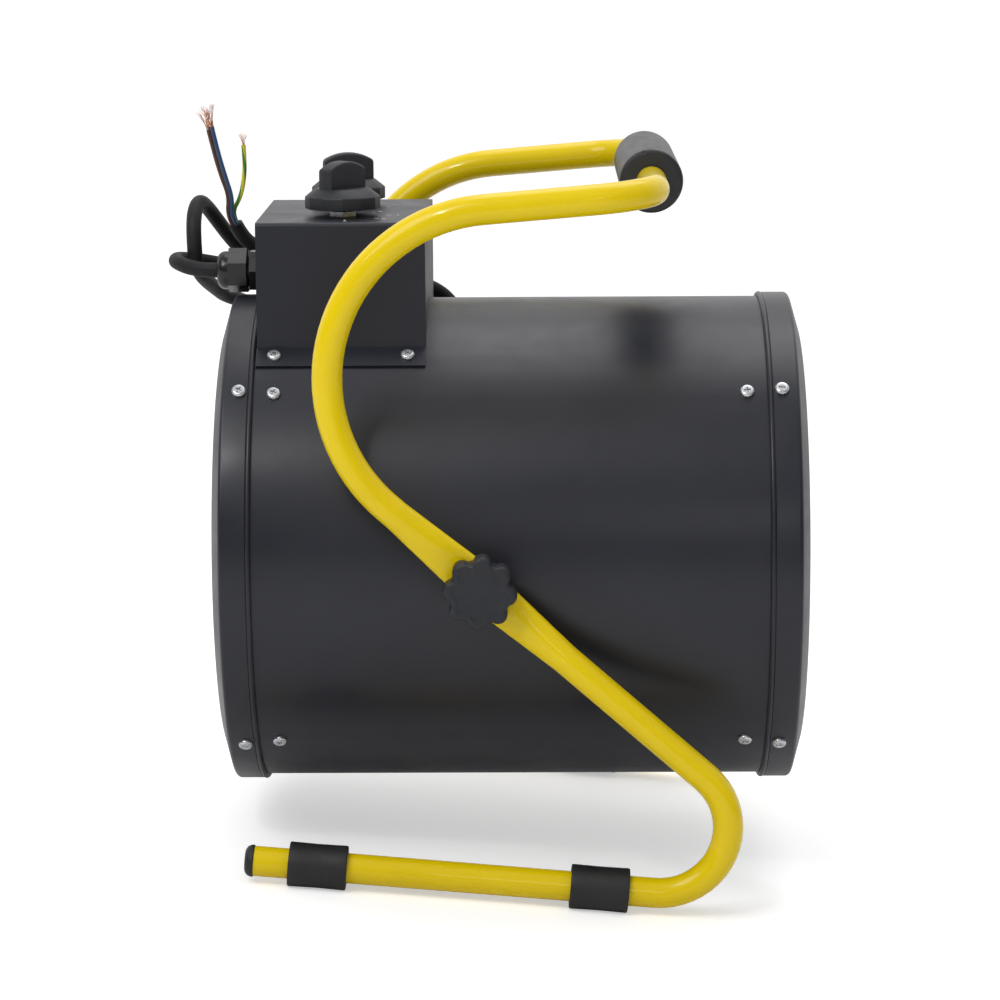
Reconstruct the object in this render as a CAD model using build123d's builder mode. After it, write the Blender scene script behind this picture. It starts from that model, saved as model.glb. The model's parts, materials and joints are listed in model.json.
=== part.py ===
from build123d import *
from math import asin, cos, degrees, radians, sin, sqrt, tan
import os

# Portable forced air heater: a painted drum with a fan and heating rings, hung at
# its sides in one bent tube that is both the stand and the carrying handle.
# All sizes are in millimetres.
# The drum's own frame has its origin where the pivot axis crosses the drum's axis,
# +X towards the air outlet, +Z up through the control box and -Y the near side.
# The stand is drawn from the same point with its legs level.

os.makedirs("parts", exist_ok=True)

# ---------------------------------------------------------------- driving sizes
# Drum
shell_r = 137.7          # outside of the rolled shell
shell_sheet = 1.0
drum_half = 163.8        # half of the length over both end rings
drum_mid = 16.1          # middle of the drum, ahead of the pivot axis
rest_tilt = 4.9          # outlet up, in degrees, with the legs on the floor
# End rings
ring_over = 2.3          # outside of the rings, over the shell's
ring_r = shell_r + ring_over
ring_sheet = 1.2
ring_width = 22.9
ring_lap = 8.7           # from the drum's end to the end of the shell
ring_corner_r = 1.8      # of the sheet's middle
ring_cone = 5.5          # how far the end face slopes outwards
ring_face = 22.0         # width of the sloping face, outside to mouth
ring_mouth_r = ring_r - ring_face
ring_roll = 3.6          # how far the mouth is rolled inwards
hem_width = 2.4
hem_edge_r = 1.5         # rounding of the rolled edge's outer corner
ring_screw_inset = 15.2  # from the drum's end
shell_screw_inset = 34.1
screw_angles = (-135, -45, 45, 135)
# Screws
head_d = 8.0
head_h = 2.4
shank_d = 4.0
shank_len = 7.0
fit_gap = 0.1            # between parts that are bolted or pushed together
run_gap = 0.05           # radial, on what turns
# Wire guards
guard_wire = 2.6
guard_rim_r = ring_r - 10.5
guard_rings = 8
guard_spokes = 6
guard_hub_r = 16.0
guard_reach = ring_mouth_r - 4.5      # outermost ring inside the mouth
guard_gap = 0.8          # behind the ring's face
# Control box
box_len = 93.7
box_half = 70.8
box_rise = 51.0          # top of the box above the shell
box_top = shell_r + box_rise
box_sheet = 1.2
box_back = 23.3          # from the inlet end of the drum to the box
box_bend_r = 2.4
flange_len = 15.3
box_screw_inset = 10.0
# Rotary knobs
knob_d = 42.5
knob_skirt = 6.8
knob_bevel = 4.7
knob_grip_w = 29.4
knob_grip_t = 9.6
knob_grip_h = 15.0
knob_gap = 4.2           # between the panel and the skirt
knob_spacing = 61.0
knob_sides = 12
knob_turn = 2.0          # of the skirt's corners, in degrees
grip_turns = (50.0, 10.0)  # how the two grip bars stand at rest, near and far
spindle_d = 6.0
# Cable gland
gland_y = 15.0
gland_rise = 15.5        # above the shell
gland_z = shell_r + gland_rise
gland_thread_d = 20.0
gland_collar_af = 22.0
gland_collar_len = 11.0
gland_nut_af = 22.6
gland_nut_len = 11.4
gland_dome_len = 6.6
gland_mouth_r = 6.4
collar_turn = 2.0        # how the two hexagons stand, in degrees
nut_turn = 83.5
# Supply cable
cable_d = 8.8
core_d = 2.6
core_offset = 1.75
# Stand
tube_d = 16.5
tube_wall = 1.5
side_gap = 12.3          # from the shell to the tube's centre line
side_offset = shell_r + side_gap
leg_gap = 24.5           # from the shell's underside to the legs' centre line
leg_drop = shell_r + leg_gap
leg_reach = 111.3        # leg end behind the pivot
side_slope = 36.3        # the straight through the pivot, in degrees
low_bend_r = 37.0
high_bend_r = 91.2
high_start = 66.2        # from the pivot to the upper bend
handle_rise = 9.58       # in degrees
handle_reach = 91.6      # from the upper bend to the crossbar
cross_bend_r = 32.0
flat_w = 22.0
flat_t = 8.0
flat_half = 14.0
flat_end = 60.0
# Foot sleeves and end plugs
sleeve_d = 24.4
sleeve_len = 32.0
sleeve_flat = 0.4
sleeve_back = -76.3
sleeve_front = 77.9
plug_flange_d = 17.6
plug_dome = 5.0
plug_insert = 12.0
# Handle grip
grip_d = 35.0
grip_len = 142.0
grip_edge = 1.2
# Pivot hardware
stud_d = 8.0
star_d = 40.0
star_lobes = 8
star_lobe_r = 5.2
star_waist = 3.2         # how deep the plan is between two lobes
star_edge_r = 2.6
star_thick = 13.0
star_boss_d = 21.0
star_boss_len = 3.4
spacer_d = 24.0
plate_size = 50.0
plate_t = 1.8
nut_af = 13.0
nut_t = 6.5
# Fan and motor
fan_clear = 12.7         # from the blade tips to the shell's outside
fan_d = 2 * (shell_r - fan_clear)
fan_blades = 5
fan_hub_d = 62.0
fan_hub_len = 22.0
fan_gap = 10.0           # from the motor to the hub
motor_d = 82.0
motor_len = 68.0
motor_wall = 6.0
shaft_d = 8.0
arm_w = 22.0
arm_t = 2.0
# Heating rings and their shield
shield_r = ring_mouth_r + 1.0
shield_sheet = 0.8
shield_len = 150.0
element_d = 8.0
element_shares = (0.4034, 0.6387, 0.874)
element_radii = [round(shield_r * share, 1) for share in element_shares]
element_gap = 32.0       # degrees left open at the top of each ring
element_leg = 52.0
element_bend_r = 12.0
spider_w = 14.0
spider_t = 1.5

# ------------------------------------------------------------- worked-out places
inlet_end = drum_mid - drum_half
outlet_end = drum_mid + drum_half
box_x0 = inlet_end + box_back
box_x1 = box_x0 + box_len
box_mid = (box_x0 + box_x1) / 2
knob_x = box_mid - 0.5
flange_r = shell_r + fit_gap
flange_bend = degrees(asin(box_half / (flange_r + box_sheet)))
flange_end = flange_bend + degrees(flange_len / flange_r)
box_screw_angle = (flange_bend + flange_end) / 2
gland_x0 = box_x0 - gland_collar_len
gland_x1 = gland_x0 - gland_nut_len
gland_x2 = gland_x1 - gland_dome_len
shield_x1 = outlet_end - shell_screw_inset + 8
shield_x0 = shield_x1 - shield_len
element_x = shield_x0 + 0.62 * shield_len
spider_x = element_x - element_d / 2 - fit_gap - spider_t
bracket_x = inlet_end + shell_screw_inset
motor_x0 = bracket_x + arm_t
fan_x = motor_x0 + motor_len + fan_gap
lay_down = Location((0, 0, 0), (0, -rest_tilt, 0))

pieces = {}


def keep(builder, name, place=Location()):
    """Store a finished piece under its name, in the stand's frame."""
    piece = place * builder.part
    piece.label = name
    pieces[name] = piece


def on_drum(x, angle, radius):
    """A plane on the drum's side: angle from +Z towards +Y, normal outwards."""
    out = Vector(0, sin(radians(angle)), cos(radians(angle)))
    return Plane(origin=Vector(x, 0, 0) + out * radius, x_dir=(1, 0, 0), z_dir=out)


def sector(inner_r, outer_r, start, end):
    """Sheet of the drum's curve, for a sketch in a plane across the axis."""
    with BuildSketch() as face:
        with BuildLine():
            outer = CenterArc((0, 0), outer_r, 90 - end, end - start)
            inner = CenterArc((0, 0), inner_r, 90 - end, end - start)
            Line(outer @ 0, inner @ 0)
            Line(outer @ 1, inner @ 1)
        make_face()
    return face.sketch_local


def annulus(x0, x1, inner_r, outer_r):
    """Straight round wall about the drum's axis."""
    with BuildPart() as wall:
        with BuildSketch(Plane.YZ.offset(x0)):
            Circle(outer_r)
            Circle(inner_r, mode=Mode.SUBTRACT)
        extrude(amount=x1 - x0)
    return wall.part


def pan_screw():
    """Pan head screw with a cross recess, its seat at z=0."""
    with BuildPart() as screw:
        with BuildSketch():
            Circle(head_d / 2)
        extrude(amount=head_h)
        fillet(screw.edges().group_by(Axis.Z)[-1], head_h * 0.6)
        with BuildSketch(Plane.XY.offset(head_h)):
            Rectangle(head_d * 0.52, head_d * 0.13)
            Rectangle(head_d * 0.13, head_d * 0.52)
        extrude(amount=-head_h * 0.6, mode=Mode.SUBTRACT)
        with BuildSketch():
            Circle(shank_d / 2)
        extrude(amount=-shank_len)
    return screw.part


# ------------------------------------------------------------------- drum shell
screw_xs = (inlet_end + shell_screw_inset, outlet_end - shell_screw_inset)
ring_screw_xs = (inlet_end + ring_screw_inset, outlet_end - ring_screw_inset)
box_screw_xs = (box_x0 + box_screw_inset, box_x1 - box_screw_inset)
drum_screw_holes = [(x, a) for x in screw_xs + ring_screw_xs for a in screw_angles]
box_screw_holes = [(x, a) for x in box_screw_xs for a in (-box_screw_angle, box_screw_angle)]
wire_hole_r = 9.0
shell_x0 = inlet_end + ring_lap
shell_x1 = outlet_end - ring_lap

with BuildPart() as drum_shell:
    add(annulus(shell_x0, shell_x1, shell_r - shell_sheet, shell_r))
    for x, angle in drum_screw_holes + box_screw_holes:
        with BuildSketch(on_drum(x, angle, shell_r + 2)):
            Circle(shank_d / 2 + fit_gap)
        extrude(amount=-6, mode=Mode.SUBTRACT)
    with BuildSketch(on_drum(knob_x, 0, shell_r + 2)):
        Circle(wire_hole_r)
    extrude(amount=-6, mode=Mode.SUBTRACT)
    for angle in (-90, 90):
        with BuildSketch(on_drum(0, angle, shell_r + 2)):
            Circle(stud_d / 2 + run_gap)
        extrude(amount=-6, mode=Mode.SUBTRACT)
keep(drum_shell, "drum_shell", lay_down)


# -------------------------------------------------------------------- end rings
def end_ring(end_x, out):
    """Pressed ring over one end of the shell; out is +1 at the outlet."""
    mid_r = ring_r - ring_sheet / 2
    band = end_x - out * ring_width
    face = end_x - out * (ring_cone + ring_sheet / 2)
    tip = end_x - out * ring_sheet / 2
    with BuildPart() as ring:
        with BuildSketch(Plane.XZ) as wall:
            with BuildLine() as centre:
                FilletPolyline(
                    (band, mid_r), (face, mid_r), (tip, ring_mouth_r + 2), (tip - out * ring_roll, ring_mouth_r),
                    radius=[ring_corner_r, 2.2],
                )
            trace(centre.line, line_width=ring_sheet)
        with BuildSketch(Plane.XZ):
            with Locations((band + out * hem_width / 2, (shell_r + fit_gap + ring_r) / 2)):
                Rectangle(hem_width, ring_r - shell_r - fit_gap)
        revolve(axis=Axis.X)
        hem_edges = [
            edge for edge in ring.edges().filter_by(GeomType.CIRCLE)
            if abs(edge.radius - ring_r) < 0.01 and abs(edge.center().X - band) < 0.01
        ]
        fillet(hem_edges, hem_edge_r)
        for angle in screw_angles:
            with BuildSketch(on_drum(end_x - out * ring_screw_inset, angle, ring_r + 2)):
                Circle(shank_d / 2 + fit_gap)
            extrude(amount=-8, mode=Mode.SUBTRACT)
    return ring


keep(end_ring(inlet_end, -1), "inlet_ring", lay_down)
keep(end_ring(outlet_end, 1), "outlet_ring", lay_down)

# ----------------------------------------------------------------------- screws
screw = pan_screw()
screw_sets = {
    "inlet_ring_screws": [(ring_screw_xs[0], a, ring_r) for a in screw_angles],
    "outlet_ring_screws": [(ring_screw_xs[1], a, ring_r) for a in screw_angles],
    "motor_frame_screws": [(screw_xs[0], a, shell_r) for a in screw_angles],
    "shield_screws": [(screw_xs[1], a, shell_r) for a in screw_angles],
    "box_screws": [
        (x, a, flange_r + box_sheet) for x in box_screw_xs for a in (-box_screw_angle, box_screw_angle)
    ],
}
for name, places in screw_sets.items():
    with BuildPart() as group:
        for x, angle, radius in places:
            # a flat head seats on the crown of the curve
            with Locations(on_drum(x, angle, radius + 0.02).location):
                add(screw)
    keep(group, name, lay_down)


# ------------------------------------------------------------------ wire guards
# Welded guard that lies behind the sloping face of an end ring
guard_slope = ring_cone / (ring_r - ring_sheet - ring_mouth_r)
guard_face = guard_slope * (guard_rim_r - ring_mouth_r) + ring_sheet
rim_x = inlet_end + guard_face + guard_wire / 2 + guard_gap
spoke_x = rim_x + guard_wire * 0.8
guard_step = (guard_reach - guard_hub_r) / (guard_rings - 1)
guard_radii = [guard_hub_r + index * guard_step for index in range(guard_rings)] + [guard_rim_r]
with BuildPart() as wire_guard:
    for index in range(guard_spokes):
        angle = radians(30 + 360 / guard_spokes * index)
        out_dir = Vector(0, cos(angle), sin(angle))
        start = Vector(spoke_x, 0, 0) + out_dir * (guard_hub_r - 2)
        with BuildSketch(Plane(origin=start, z_dir=out_dir)):
            Circle(guard_wire / 2)
        extrude(amount=guard_rim_r - guard_hub_r + 2)
    for radius in guard_radii:
        with Locations(Location((rim_x, 0, 0), (0, 90, 0))):
            Torus(radius, guard_wire / 2)
to_outlet = Location((inlet_end + outlet_end, 0, 0), (0, 0, 180))
keep(wire_guard, "inlet_guard", lay_down)
keep(wire_guard, "outlet_guard", lay_down * to_outlet)

# ---------------------------------------------------------- control box and lid
gland_hole_r = gland_thread_d / 2 + fit_gap
spindle_hole_r = 5.2
with BuildPart() as control_box:
    with BuildSketch(Plane.XY.offset(box_top)):
        with Locations((box_mid, 0)):
            Rectangle(box_len, box_half * 2)
    extrude(amount=-(box_top - shell_r * 0.8))
    fillet(control_box.edges().filter_by(Axis.X).group_by(Axis.Z)[-1], box_bend_r)
    with BuildSketch(Plane.XY.offset(box_top - box_sheet)):
        with Locations((box_mid, 0)):
            Rectangle(box_len - 2 * box_sheet, (box_half - box_sheet) * 2)
    extrude(amount=-box_top, mode=Mode.SUBTRACT)
    with BuildSketch(Plane.YZ.offset(box_x0 - 1)):
        Circle(flange_r)
    extrude(amount=box_len + 2, mode=Mode.SUBTRACT)
    for start, end in ((flange_bend - 0.4, flange_end), (-flange_end, -flange_bend + 0.4)):
        with BuildSketch(Plane.YZ.offset(box_x0)):
            add(sector(flange_r, flange_r + box_sheet, start, end))
        extrude(amount=box_len)
    for x, angle in box_screw_holes:
        with BuildSketch(on_drum(x, angle, shell_r + 4)):
            Circle(shank_d / 2 + fit_gap)
        extrude(amount=-6, mode=Mode.SUBTRACT)
    with BuildSketch(Plane.YZ.offset(box_x0 - 1)):
        with Locations((gland_y, gland_z)):
            Circle(gland_hole_r)
    extrude(amount=box_sheet + 2, mode=Mode.SUBTRACT)
    with BuildSketch(Plane.XY.offset(box_top + 1)):
        with Locations((knob_x, -knob_spacing / 2), (knob_x, knob_spacing / 2)):
            Circle(spindle_hole_r)
    extrude(amount=-box_sheet - 2, mode=Mode.SUBTRACT)
keep(control_box, "control_box", lay_down)

# Rubber grommet where the wires pass from the box into the drum
grommet_lip = 2.6
with BuildPart() as wire_grommet:
    with BuildSketch(Plane.XZ.offset(0)):
        with BuildLine():
            Polyline(
                (5.5, shell_r - shell_sheet - 2.4), (wire_hole_r + grommet_lip, shell_r - shell_sheet - 2.4),
                (wire_hole_r + grommet_lip, shell_r - shell_sheet - 0.7),
                (wire_hole_r - fit_gap, shell_r - shell_sheet - 0.7), (wire_hole_r - fit_gap, shell_r + fit_gap),
                (wire_hole_r + grommet_lip, shell_r + fit_gap), (wire_hole_r + grommet_lip, shell_r + 2.2),
                (5.5, shell_r + 2.2), close=True,
            )
        make_face()
    revolve(axis=Axis.Z)
keep(wire_grommet, "wire_grommet", lay_down * Location((knob_x, 0, 0)))


# --------------------------------------------------- switches and their knobs
def rotary_knob(centre_y, grip_turn):
    """Faceted skirt, sloping shoulder and a rounded grip bar."""
    base = Plane(origin=(knob_x, centre_y, box_top + knob_gap), x_dir=(1, 0, 0), z_dir=(0, 0, 1))
    shoulder = base.offset(knob_skirt)
    top = base.offset(knob_skirt + knob_bevel)
    with BuildPart() as knob:
        with BuildSketch(base):
            RegularPolygon(knob_d / 2, knob_sides, rotation=knob_turn)
        extrude(amount=knob_skirt)
        with BuildSketch(shoulder):
            RegularPolygon(knob_d / 2, knob_sides, rotation=knob_turn)
        with BuildSketch(top):
            RegularPolygon(knob_grip_w / 2 + 0.6, knob_sides, rotation=knob_turn)
        loft(ruled=True)
        with BuildSketch(top.offset(-0.5)):
            Circle(knob_grip_w / 2)
            Rectangle(knob_grip_w, knob_grip_t, rotation=grip_turn, mode=Mode.INTERSECT)
        extrude(amount=knob_grip_h + 0.5)
        crown_r = 0.9 * knob_grip_w
        crown = Plane(origin=top.origin, x_dir=(cos(radians(grip_turn)), sin(radians(grip_turn)), 0),
                      z_dir=(sin(radians(grip_turn)), -cos(radians(grip_turn)), 0))
        with BuildSketch(crown):
            with Locations((0, knob_grip_h)):
                Rectangle(2 * knob_grip_w, knob_grip_h)
            with Locations((0, knob_grip_h - crown_r)):
                Circle(crown_r, mode=Mode.SUBTRACT)
        extrude(amount=knob_grip_w, both=True, mode=Mode.SUBTRACT)
        with BuildSketch(base):
            Circle(spindle_d / 2 + 2.2)
        extrude(amount=-knob_gap + 0.4)
        with BuildSketch(base.offset(-knob_gap)):
            Circle(spindle_d / 2)
        extrude(amount=knob_gap + knob_skirt + 4, mode=Mode.SUBTRACT)
    return knob


def spindle(centre_y):
    with BuildPart() as rod:
        with BuildSketch(Plane.XY.offset(box_top - box_sheet - 10)):
            with Locations((knob_x, centre_y)):
                Circle(spindle_d / 2)
        extrude(amount=10 + box_sheet + knob_gap + knob_skirt + 4)
    return rod


switch_y = -knob_spacing / 2
stat_y = knob_spacing / 2
keep(rotary_knob(switch_y, grip_turns[0]), "mode_knob", lay_down)
keep(rotary_knob(stat_y, grip_turns[1]), "thermostat_knob", lay_down)
keep(spindle(switch_y), "mode_spindle", lay_down)
keep(spindle(stat_y), "thermostat_spindle", lay_down)

switch_w = 38.0
switch_h = 44.0
bush_r = spindle_hole_r - fit_gap
with BuildPart() as mode_switch:
    with BuildSketch(Plane.XY.offset(box_top - box_sheet)):
        with Locations((knob_x, switch_y)):
            Rectangle(switch_w, switch_w)
    extrude(amount=-switch_h)
    chamfer(mode_switch.edges().filter_by(Axis.Z), 3)
    with BuildSketch(Plane.XY.offset(box_top - box_sheet)):
        with Locations((knob_x, switch_y)):
            Circle(bush_r)
    extrude(amount=box_sheet + 0.3)
    with BuildSketch(Plane.XY.offset(box_top + 1)):
        with Locations((knob_x, switch_y)):
            Circle(spindle_d / 2 + run_gap)
    extrude(amount=-(box_sheet + 1 + 10 + run_gap), mode=Mode.SUBTRACT)
    with BuildSketch(Plane.XZ.offset(-switch_y + switch_w / 2)):
        with Locations(*[(knob_x + dx, box_top - box_sheet - dz) for dx in (-11, 0, 11) for dz in (16, 32)]):
            Rectangle(6.3, 0.8)
    extrude(amount=7)
keep(mode_switch, "mode_switch", lay_down)

stat_r = 20.0
with BuildPart() as thermostat:
    with BuildSketch(Plane.XY.offset(box_top - box_sheet)):
        with Locations((knob_x, stat_y)):
            Rectangle(34, 34)
    extrude(amount=-14)
    with BuildSketch(Plane.XY.offset(box_top - box_sheet - 14)):
        with Locations((knob_x, stat_y)):
            Circle(stat_r)
    extrude(amount=-8)
    fillet(thermostat.edges().group_by(Axis.Z)[0], 2)
    with BuildSketch(Plane.XY.offset(box_top - box_sheet)):
        with Locations((knob_x, stat_y)):
            Circle(bush_r)
    extrude(amount=box_sheet + 0.3)
    with BuildSketch(Plane.XY.offset(box_top + 1)):
        with Locations((knob_x, stat_y)):
            Circle(spindle_d / 2 + run_gap)
    extrude(amount=-(box_sheet + 1 + 10 + run_gap), mode=Mode.SUBTRACT)
keep(thermostat, "thermostat", lay_down)

terminal_size = (34.0, 17.0, 16.0)
block_z = shell_r + 22.3
with BuildPart() as terminal_block:
    with BuildSketch(Plane.YZ.offset(box_x1 - box_sheet)):
        with Locations((0, block_z)):
            Rectangle(terminal_size[0], terminal_size[2])
    extrude(amount=-terminal_size[1])
    with BuildSketch(Plane.YZ.offset(box_x1 - box_sheet - terminal_size[1])):
        with Locations(*[(dy, block_z) for dy in (-11, 0, 11)]):
            Circle(2.6)
    extrude(amount=9, mode=Mode.SUBTRACT)
keep(terminal_block, "terminal_block", lay_down)

# ------------------------------------------------------------------ cable gland
gland_plane = Plane(origin=(box_x0, gland_y, gland_z), x_dir=(0, 1, 0), z_dir=(-1, 0, 0))
gland_stub_r = 9.6
gland_bore_r = 6.9
with BuildPart() as gland_body:
    with BuildSketch(gland_plane):
        RegularPolygon(gland_collar_af / 2, 6, major_radius=False, rotation=collar_turn)
    extrude(amount=gland_collar_len - fit_gap)
    chamfer(gland_body.edges().group_by(Axis.X)[0], 0.8)
    with BuildSketch(gland_plane.offset(-box_sheet - 8)):
        Circle(gland_thread_d / 2)
    extrude(amount=box_sheet + 8)
    with BuildSketch(gland_plane.offset(gland_collar_len - fit_gap)):
        Circle(gland_stub_r)
    extrude(amount=gland_nut_len - 1)
    with BuildSketch(gland_plane.offset(-box_sheet - 8)):
        Circle(gland_bore_r)
    extrude(amount=60, mode=Mode.SUBTRACT)
keep(gland_body, "gland_body", lay_down)

with BuildPart() as gland_nut:
    with BuildSketch(gland_plane.offset(gland_collar_len)):
        RegularPolygon(gland_nut_af / 2, 6, major_radius=False, rotation=nut_turn)
    extrude(amount=gland_nut_len)
    chamfer(gland_nut.edges().group_by(Axis.X)[-1], 0.8)
    with BuildSketch(gland_plane.offset(gland_collar_len + gland_nut_len)):
        Circle(gland_nut_af / 2 - 0.4)
    extrude(amount=gland_dome_len)
    fillet(gland_nut.edges().group_by(Axis.X)[0], 4.6)
    with BuildSketch(gland_plane.offset(gland_collar_len)):
        Circle(gland_stub_r + fit_gap)
    extrude(amount=gland_nut_len - 0.5, mode=Mode.SUBTRACT)
    with BuildSketch(gland_plane.offset(gland_collar_len)):
        Circle(gland_mouth_r)
    extrude(amount=40, mode=Mode.SUBTRACT)
keep(gland_nut, "gland_nut", lay_down)

seal_end = gland_x2 + 1.2
with BuildPart() as gland_seal:
    with BuildSketch(gland_plane.offset(-box_sheet - 6)):
        Circle(gland_mouth_r - fit_gap)
    extrude(amount=box_x0 - seal_end + box_sheet + 6)
keep(gland_seal, "gland_seal", lay_down)

with BuildPart() as gland_locknut:
    with BuildSketch(gland_plane.offset(-box_sheet)):
        RegularPolygon(gland_nut_af / 2, 6, major_radius=False)
        Circle(gland_thread_d / 2 + run_gap, mode=Mode.SUBTRACT)
    extrude(amount=-5)
keep(gland_locknut, "gland_locknut", lay_down)


# ----------------------------------------------------------------- supply cable
def fitted_radii(points):
    """Each arc as large as its two runs allow: 0.45 of the shorter, over tan(half turn)."""
    radii = []
    for before, here, after in zip(points, points[1:], points[2:]):
        run_in = Vector(here) - Vector(before)
        run_out = Vector(after) - Vector(here)
        half_turn = radians(run_in.get_angle(run_out)) / 2
        radii.append(0.45 * min(run_in.length, run_out.length) / tan(half_turn))
    return radii


def cord_tube(points, diameter):
    """Straight runs joined by tangent arcs, with one round section."""
    radii = fitted_radii(points)
    with BuildPart() as tube:
        with BuildLine() as route:
            FilletPolyline(*points, radius=radii)
        with BuildSketch(Plane(origin=route.line @ 0, z_dir=route.line % 0)):
            Circle(diameter / 2)
        sweep()
    length = sum(edge.length for edge in route.edges())
    expected = length * 3.14159265 * diameter ** 2 / 4
    print(f"cord {diameter} mm: length {length:.1f}, volume ratio {tube.part.volume / expected:.4f}, "
          f"radii {[round(r, 1) for r in radii]}")
    return tube


def least_self_gap(points, diameter):
    """Smallest clearance between stretches of the route that aren't neighbours."""
    samples = []
    for start, end in zip(points, points[1:]):
        a, b = Vector(start), Vector(end)
        count = max(2, int((b - a).length / 2))
        samples += [a + (b - a) * (i / count) for i in range(count)]
    least = min(
        (samples[i] - samples[j]).length
        for i in range(len(samples)) for j in range(i + 20, len(samples))
    )
    return least - diameter


# The route leaves the gland, turns back behind it, runs behind the box and dips
# down the far shoulder of the drum. It comes back up through its own first bend,
# drops behind the box, makes one loop there and ends pointing up, its cores bare.
# Its points are measured from the end of the gland's seal.
cable_turns = [
    (0, 0, 0), (-9, 0, 0), (-17.7, 3.7, 1.2), (-23.9, 9.4, 2.8), (-27.3, 17, 3.6),
    (-27.3, 26.2, 3.6), (-24.1, 34.4, 2.8), (-17.9, 40.5, 1.5), (-9.3, 44.4, -0.4), (2.2, 49, -3),
    (14.7, 57.6, -5.6), (29.7, 65.3, -8.2), (48.7, 66.5, -10), (69.7, 67.5, -10.6),
    (90.7, 67.5, -12), (109.7, 70, -14.8), (125.2, 75.2, -21.7), (134.2, 83.8, -33.2),
    (135.2, 94.4, -46.7), (126.7, 102.3, -57.7), (108.7, 106.5, -63.2), (86.7, 107.5, -63.7),
    (62.7, 106.5, -59.2), (40.7, 103, -49.7), (21.7, 97, -37.7), (6.2, 90, -28.7),
    (-4.3, 79.5, -24.2), (-10.4, 65, -19.4), (-14.3, 49, -14.4), (-15.9, 34.6, -8.8),
    (-16.3, 24, 0.8), (-16.8, 22.8, 13.3), (-17.3, 26.5, 24.8), (-16.9, 34.5, 32.8),
    (-15.1, 45.5, 36), (-11.9, 56.5, 31.4), (-6.5, 64.5, 22), (0.2, 70.5, 11.6), (8.9, 73.5, 1.3),
    (19.7, 76, -10.7), (32.7, 79, -23.2), (48.7, 82.5, -33.7), (67.7, 84.8, -38.2),
    (86.7, 85, -34.2), (100.7, 83.5, -20.7), (105.7, 81, -2.7), (98.2, 78, 14.3),
    (81.7, 74.5, 23.3), (61.7, 71, 20.8), (42.7, 68, 12.3), (26.7, 65, 6), (15.2, 61.5, 7),
    (8.1, 58, 13.8), (4.6, 55.5, 21.2),
]
cable_start = Vector(seal_end, gland_y, gland_z)
cable_route = [tuple(cable_start + Vector(*turn)) for turn in cable_turns]
print(f"cable least gap to itself {least_self_gap(cable_route, cable_d):.2f}")
supply_cable = cord_tube(cable_route, cable_d)
keep(supply_cable, "supply_cable", lay_down)

# Bare cores at the free end, each starting on the face of the jacket
jacket_end = Vector(cable_route[-1])
end_dir = (jacket_end - Vector(cable_route[-2])).normalized()
side_dir = Vector(0, 1, 0).cross(end_dir).normalized()
back_dir = end_dir.cross(side_dir)
core_starts = [
    jacket_end + side_dir * core_offset * cos(radians(a)) + back_dir * core_offset * sin(radians(a))
    for a in (170, 290, 50)
]
core_turns = {
    "brown": [(1.1, 56.6, 37.8), (-3.5, 56.6, 49.8), (-7.5, 56.2, 63.8), (-11.2, 56, 76.8)],
    "blue": [(3.3, 53.4, 36.8), (-0.7, 53.2, 49.8), (-4.5, 53, 64.3), (-7.7, 53, 78.8)],
    "earth": [(7.9, 56, 36.8), (10.1, 56, 47.3), (10.9, 56, 57.8), (10.2, 56, 67.8)],
}
core_routes = {
    colour: [tuple(cable_start + Vector(*turn)) for turn in turns] for colour, turns in core_turns.items()
}
strand_len = {"brown": 10.0, "blue": 12.0, "earth": 6.0}
strand_r = 0.8


def bare_strands(colours):
    """Twisted copper that stands out of the cores and spreads a little."""
    with BuildPart() as strands:
        for colour in colours:
            tip = Vector(core_routes[colour][-1])
            tip_dir = (tip - Vector(core_routes[colour][-2])).normalized()
            with BuildSketch(Plane(origin=tip, z_dir=tip_dir)):
                Circle(strand_r)
            with BuildSketch(Plane(origin=tip + tip_dir * strand_len[colour], z_dir=tip_dir)):
                Circle(strand_r * 1.6)
            loft()
    return strands


for (colour, route), start in zip(core_routes.items(), core_starts):
    points = [tuple(start), tuple(start + end_dir * 7)] + route
    keep(cord_tube(points, core_d), f"core_{colour}", lay_down)
keep(bare_strands(["brown", "blue"]), "strands_power", lay_down)
keep(bare_strands(["earth"]), "strands_earth", lay_down)

# ---------------------------------------------------------- fan, motor and frame
motor_x1 = motor_x0 + motor_len
with BuildPart() as motor_frame:
    with BuildSketch(Plane.YZ.offset(bracket_x)):
        Circle(motor_d / 2 + 6)
        for angle in (45, 135):
            Rectangle(2 * (shell_r - shell_sheet - fit_gap) - 2, arm_w, rotation=angle)
        Circle(motor_d / 2 - 12, mode=Mode.SUBTRACT)
    extrude(amount=arm_t)
    with BuildSketch(Plane.YZ.offset(bracket_x - 6)):
        for start in screw_angles:
            add(sector(shell_r - shell_sheet - fit_gap - arm_t, shell_r - shell_sheet - fit_gap,
                       start - 4.6, start + 4.6))
    extrude(amount=6 + arm_t)
    for angle in screw_angles:
        with BuildSketch(on_drum(bracket_x, angle, shell_r + 2)):
            Circle(shank_d / 2 + fit_gap)
        extrude(amount=-shank_len - 2, mode=Mode.SUBTRACT)
keep(motor_frame, "motor_frame", lay_down)

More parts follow.
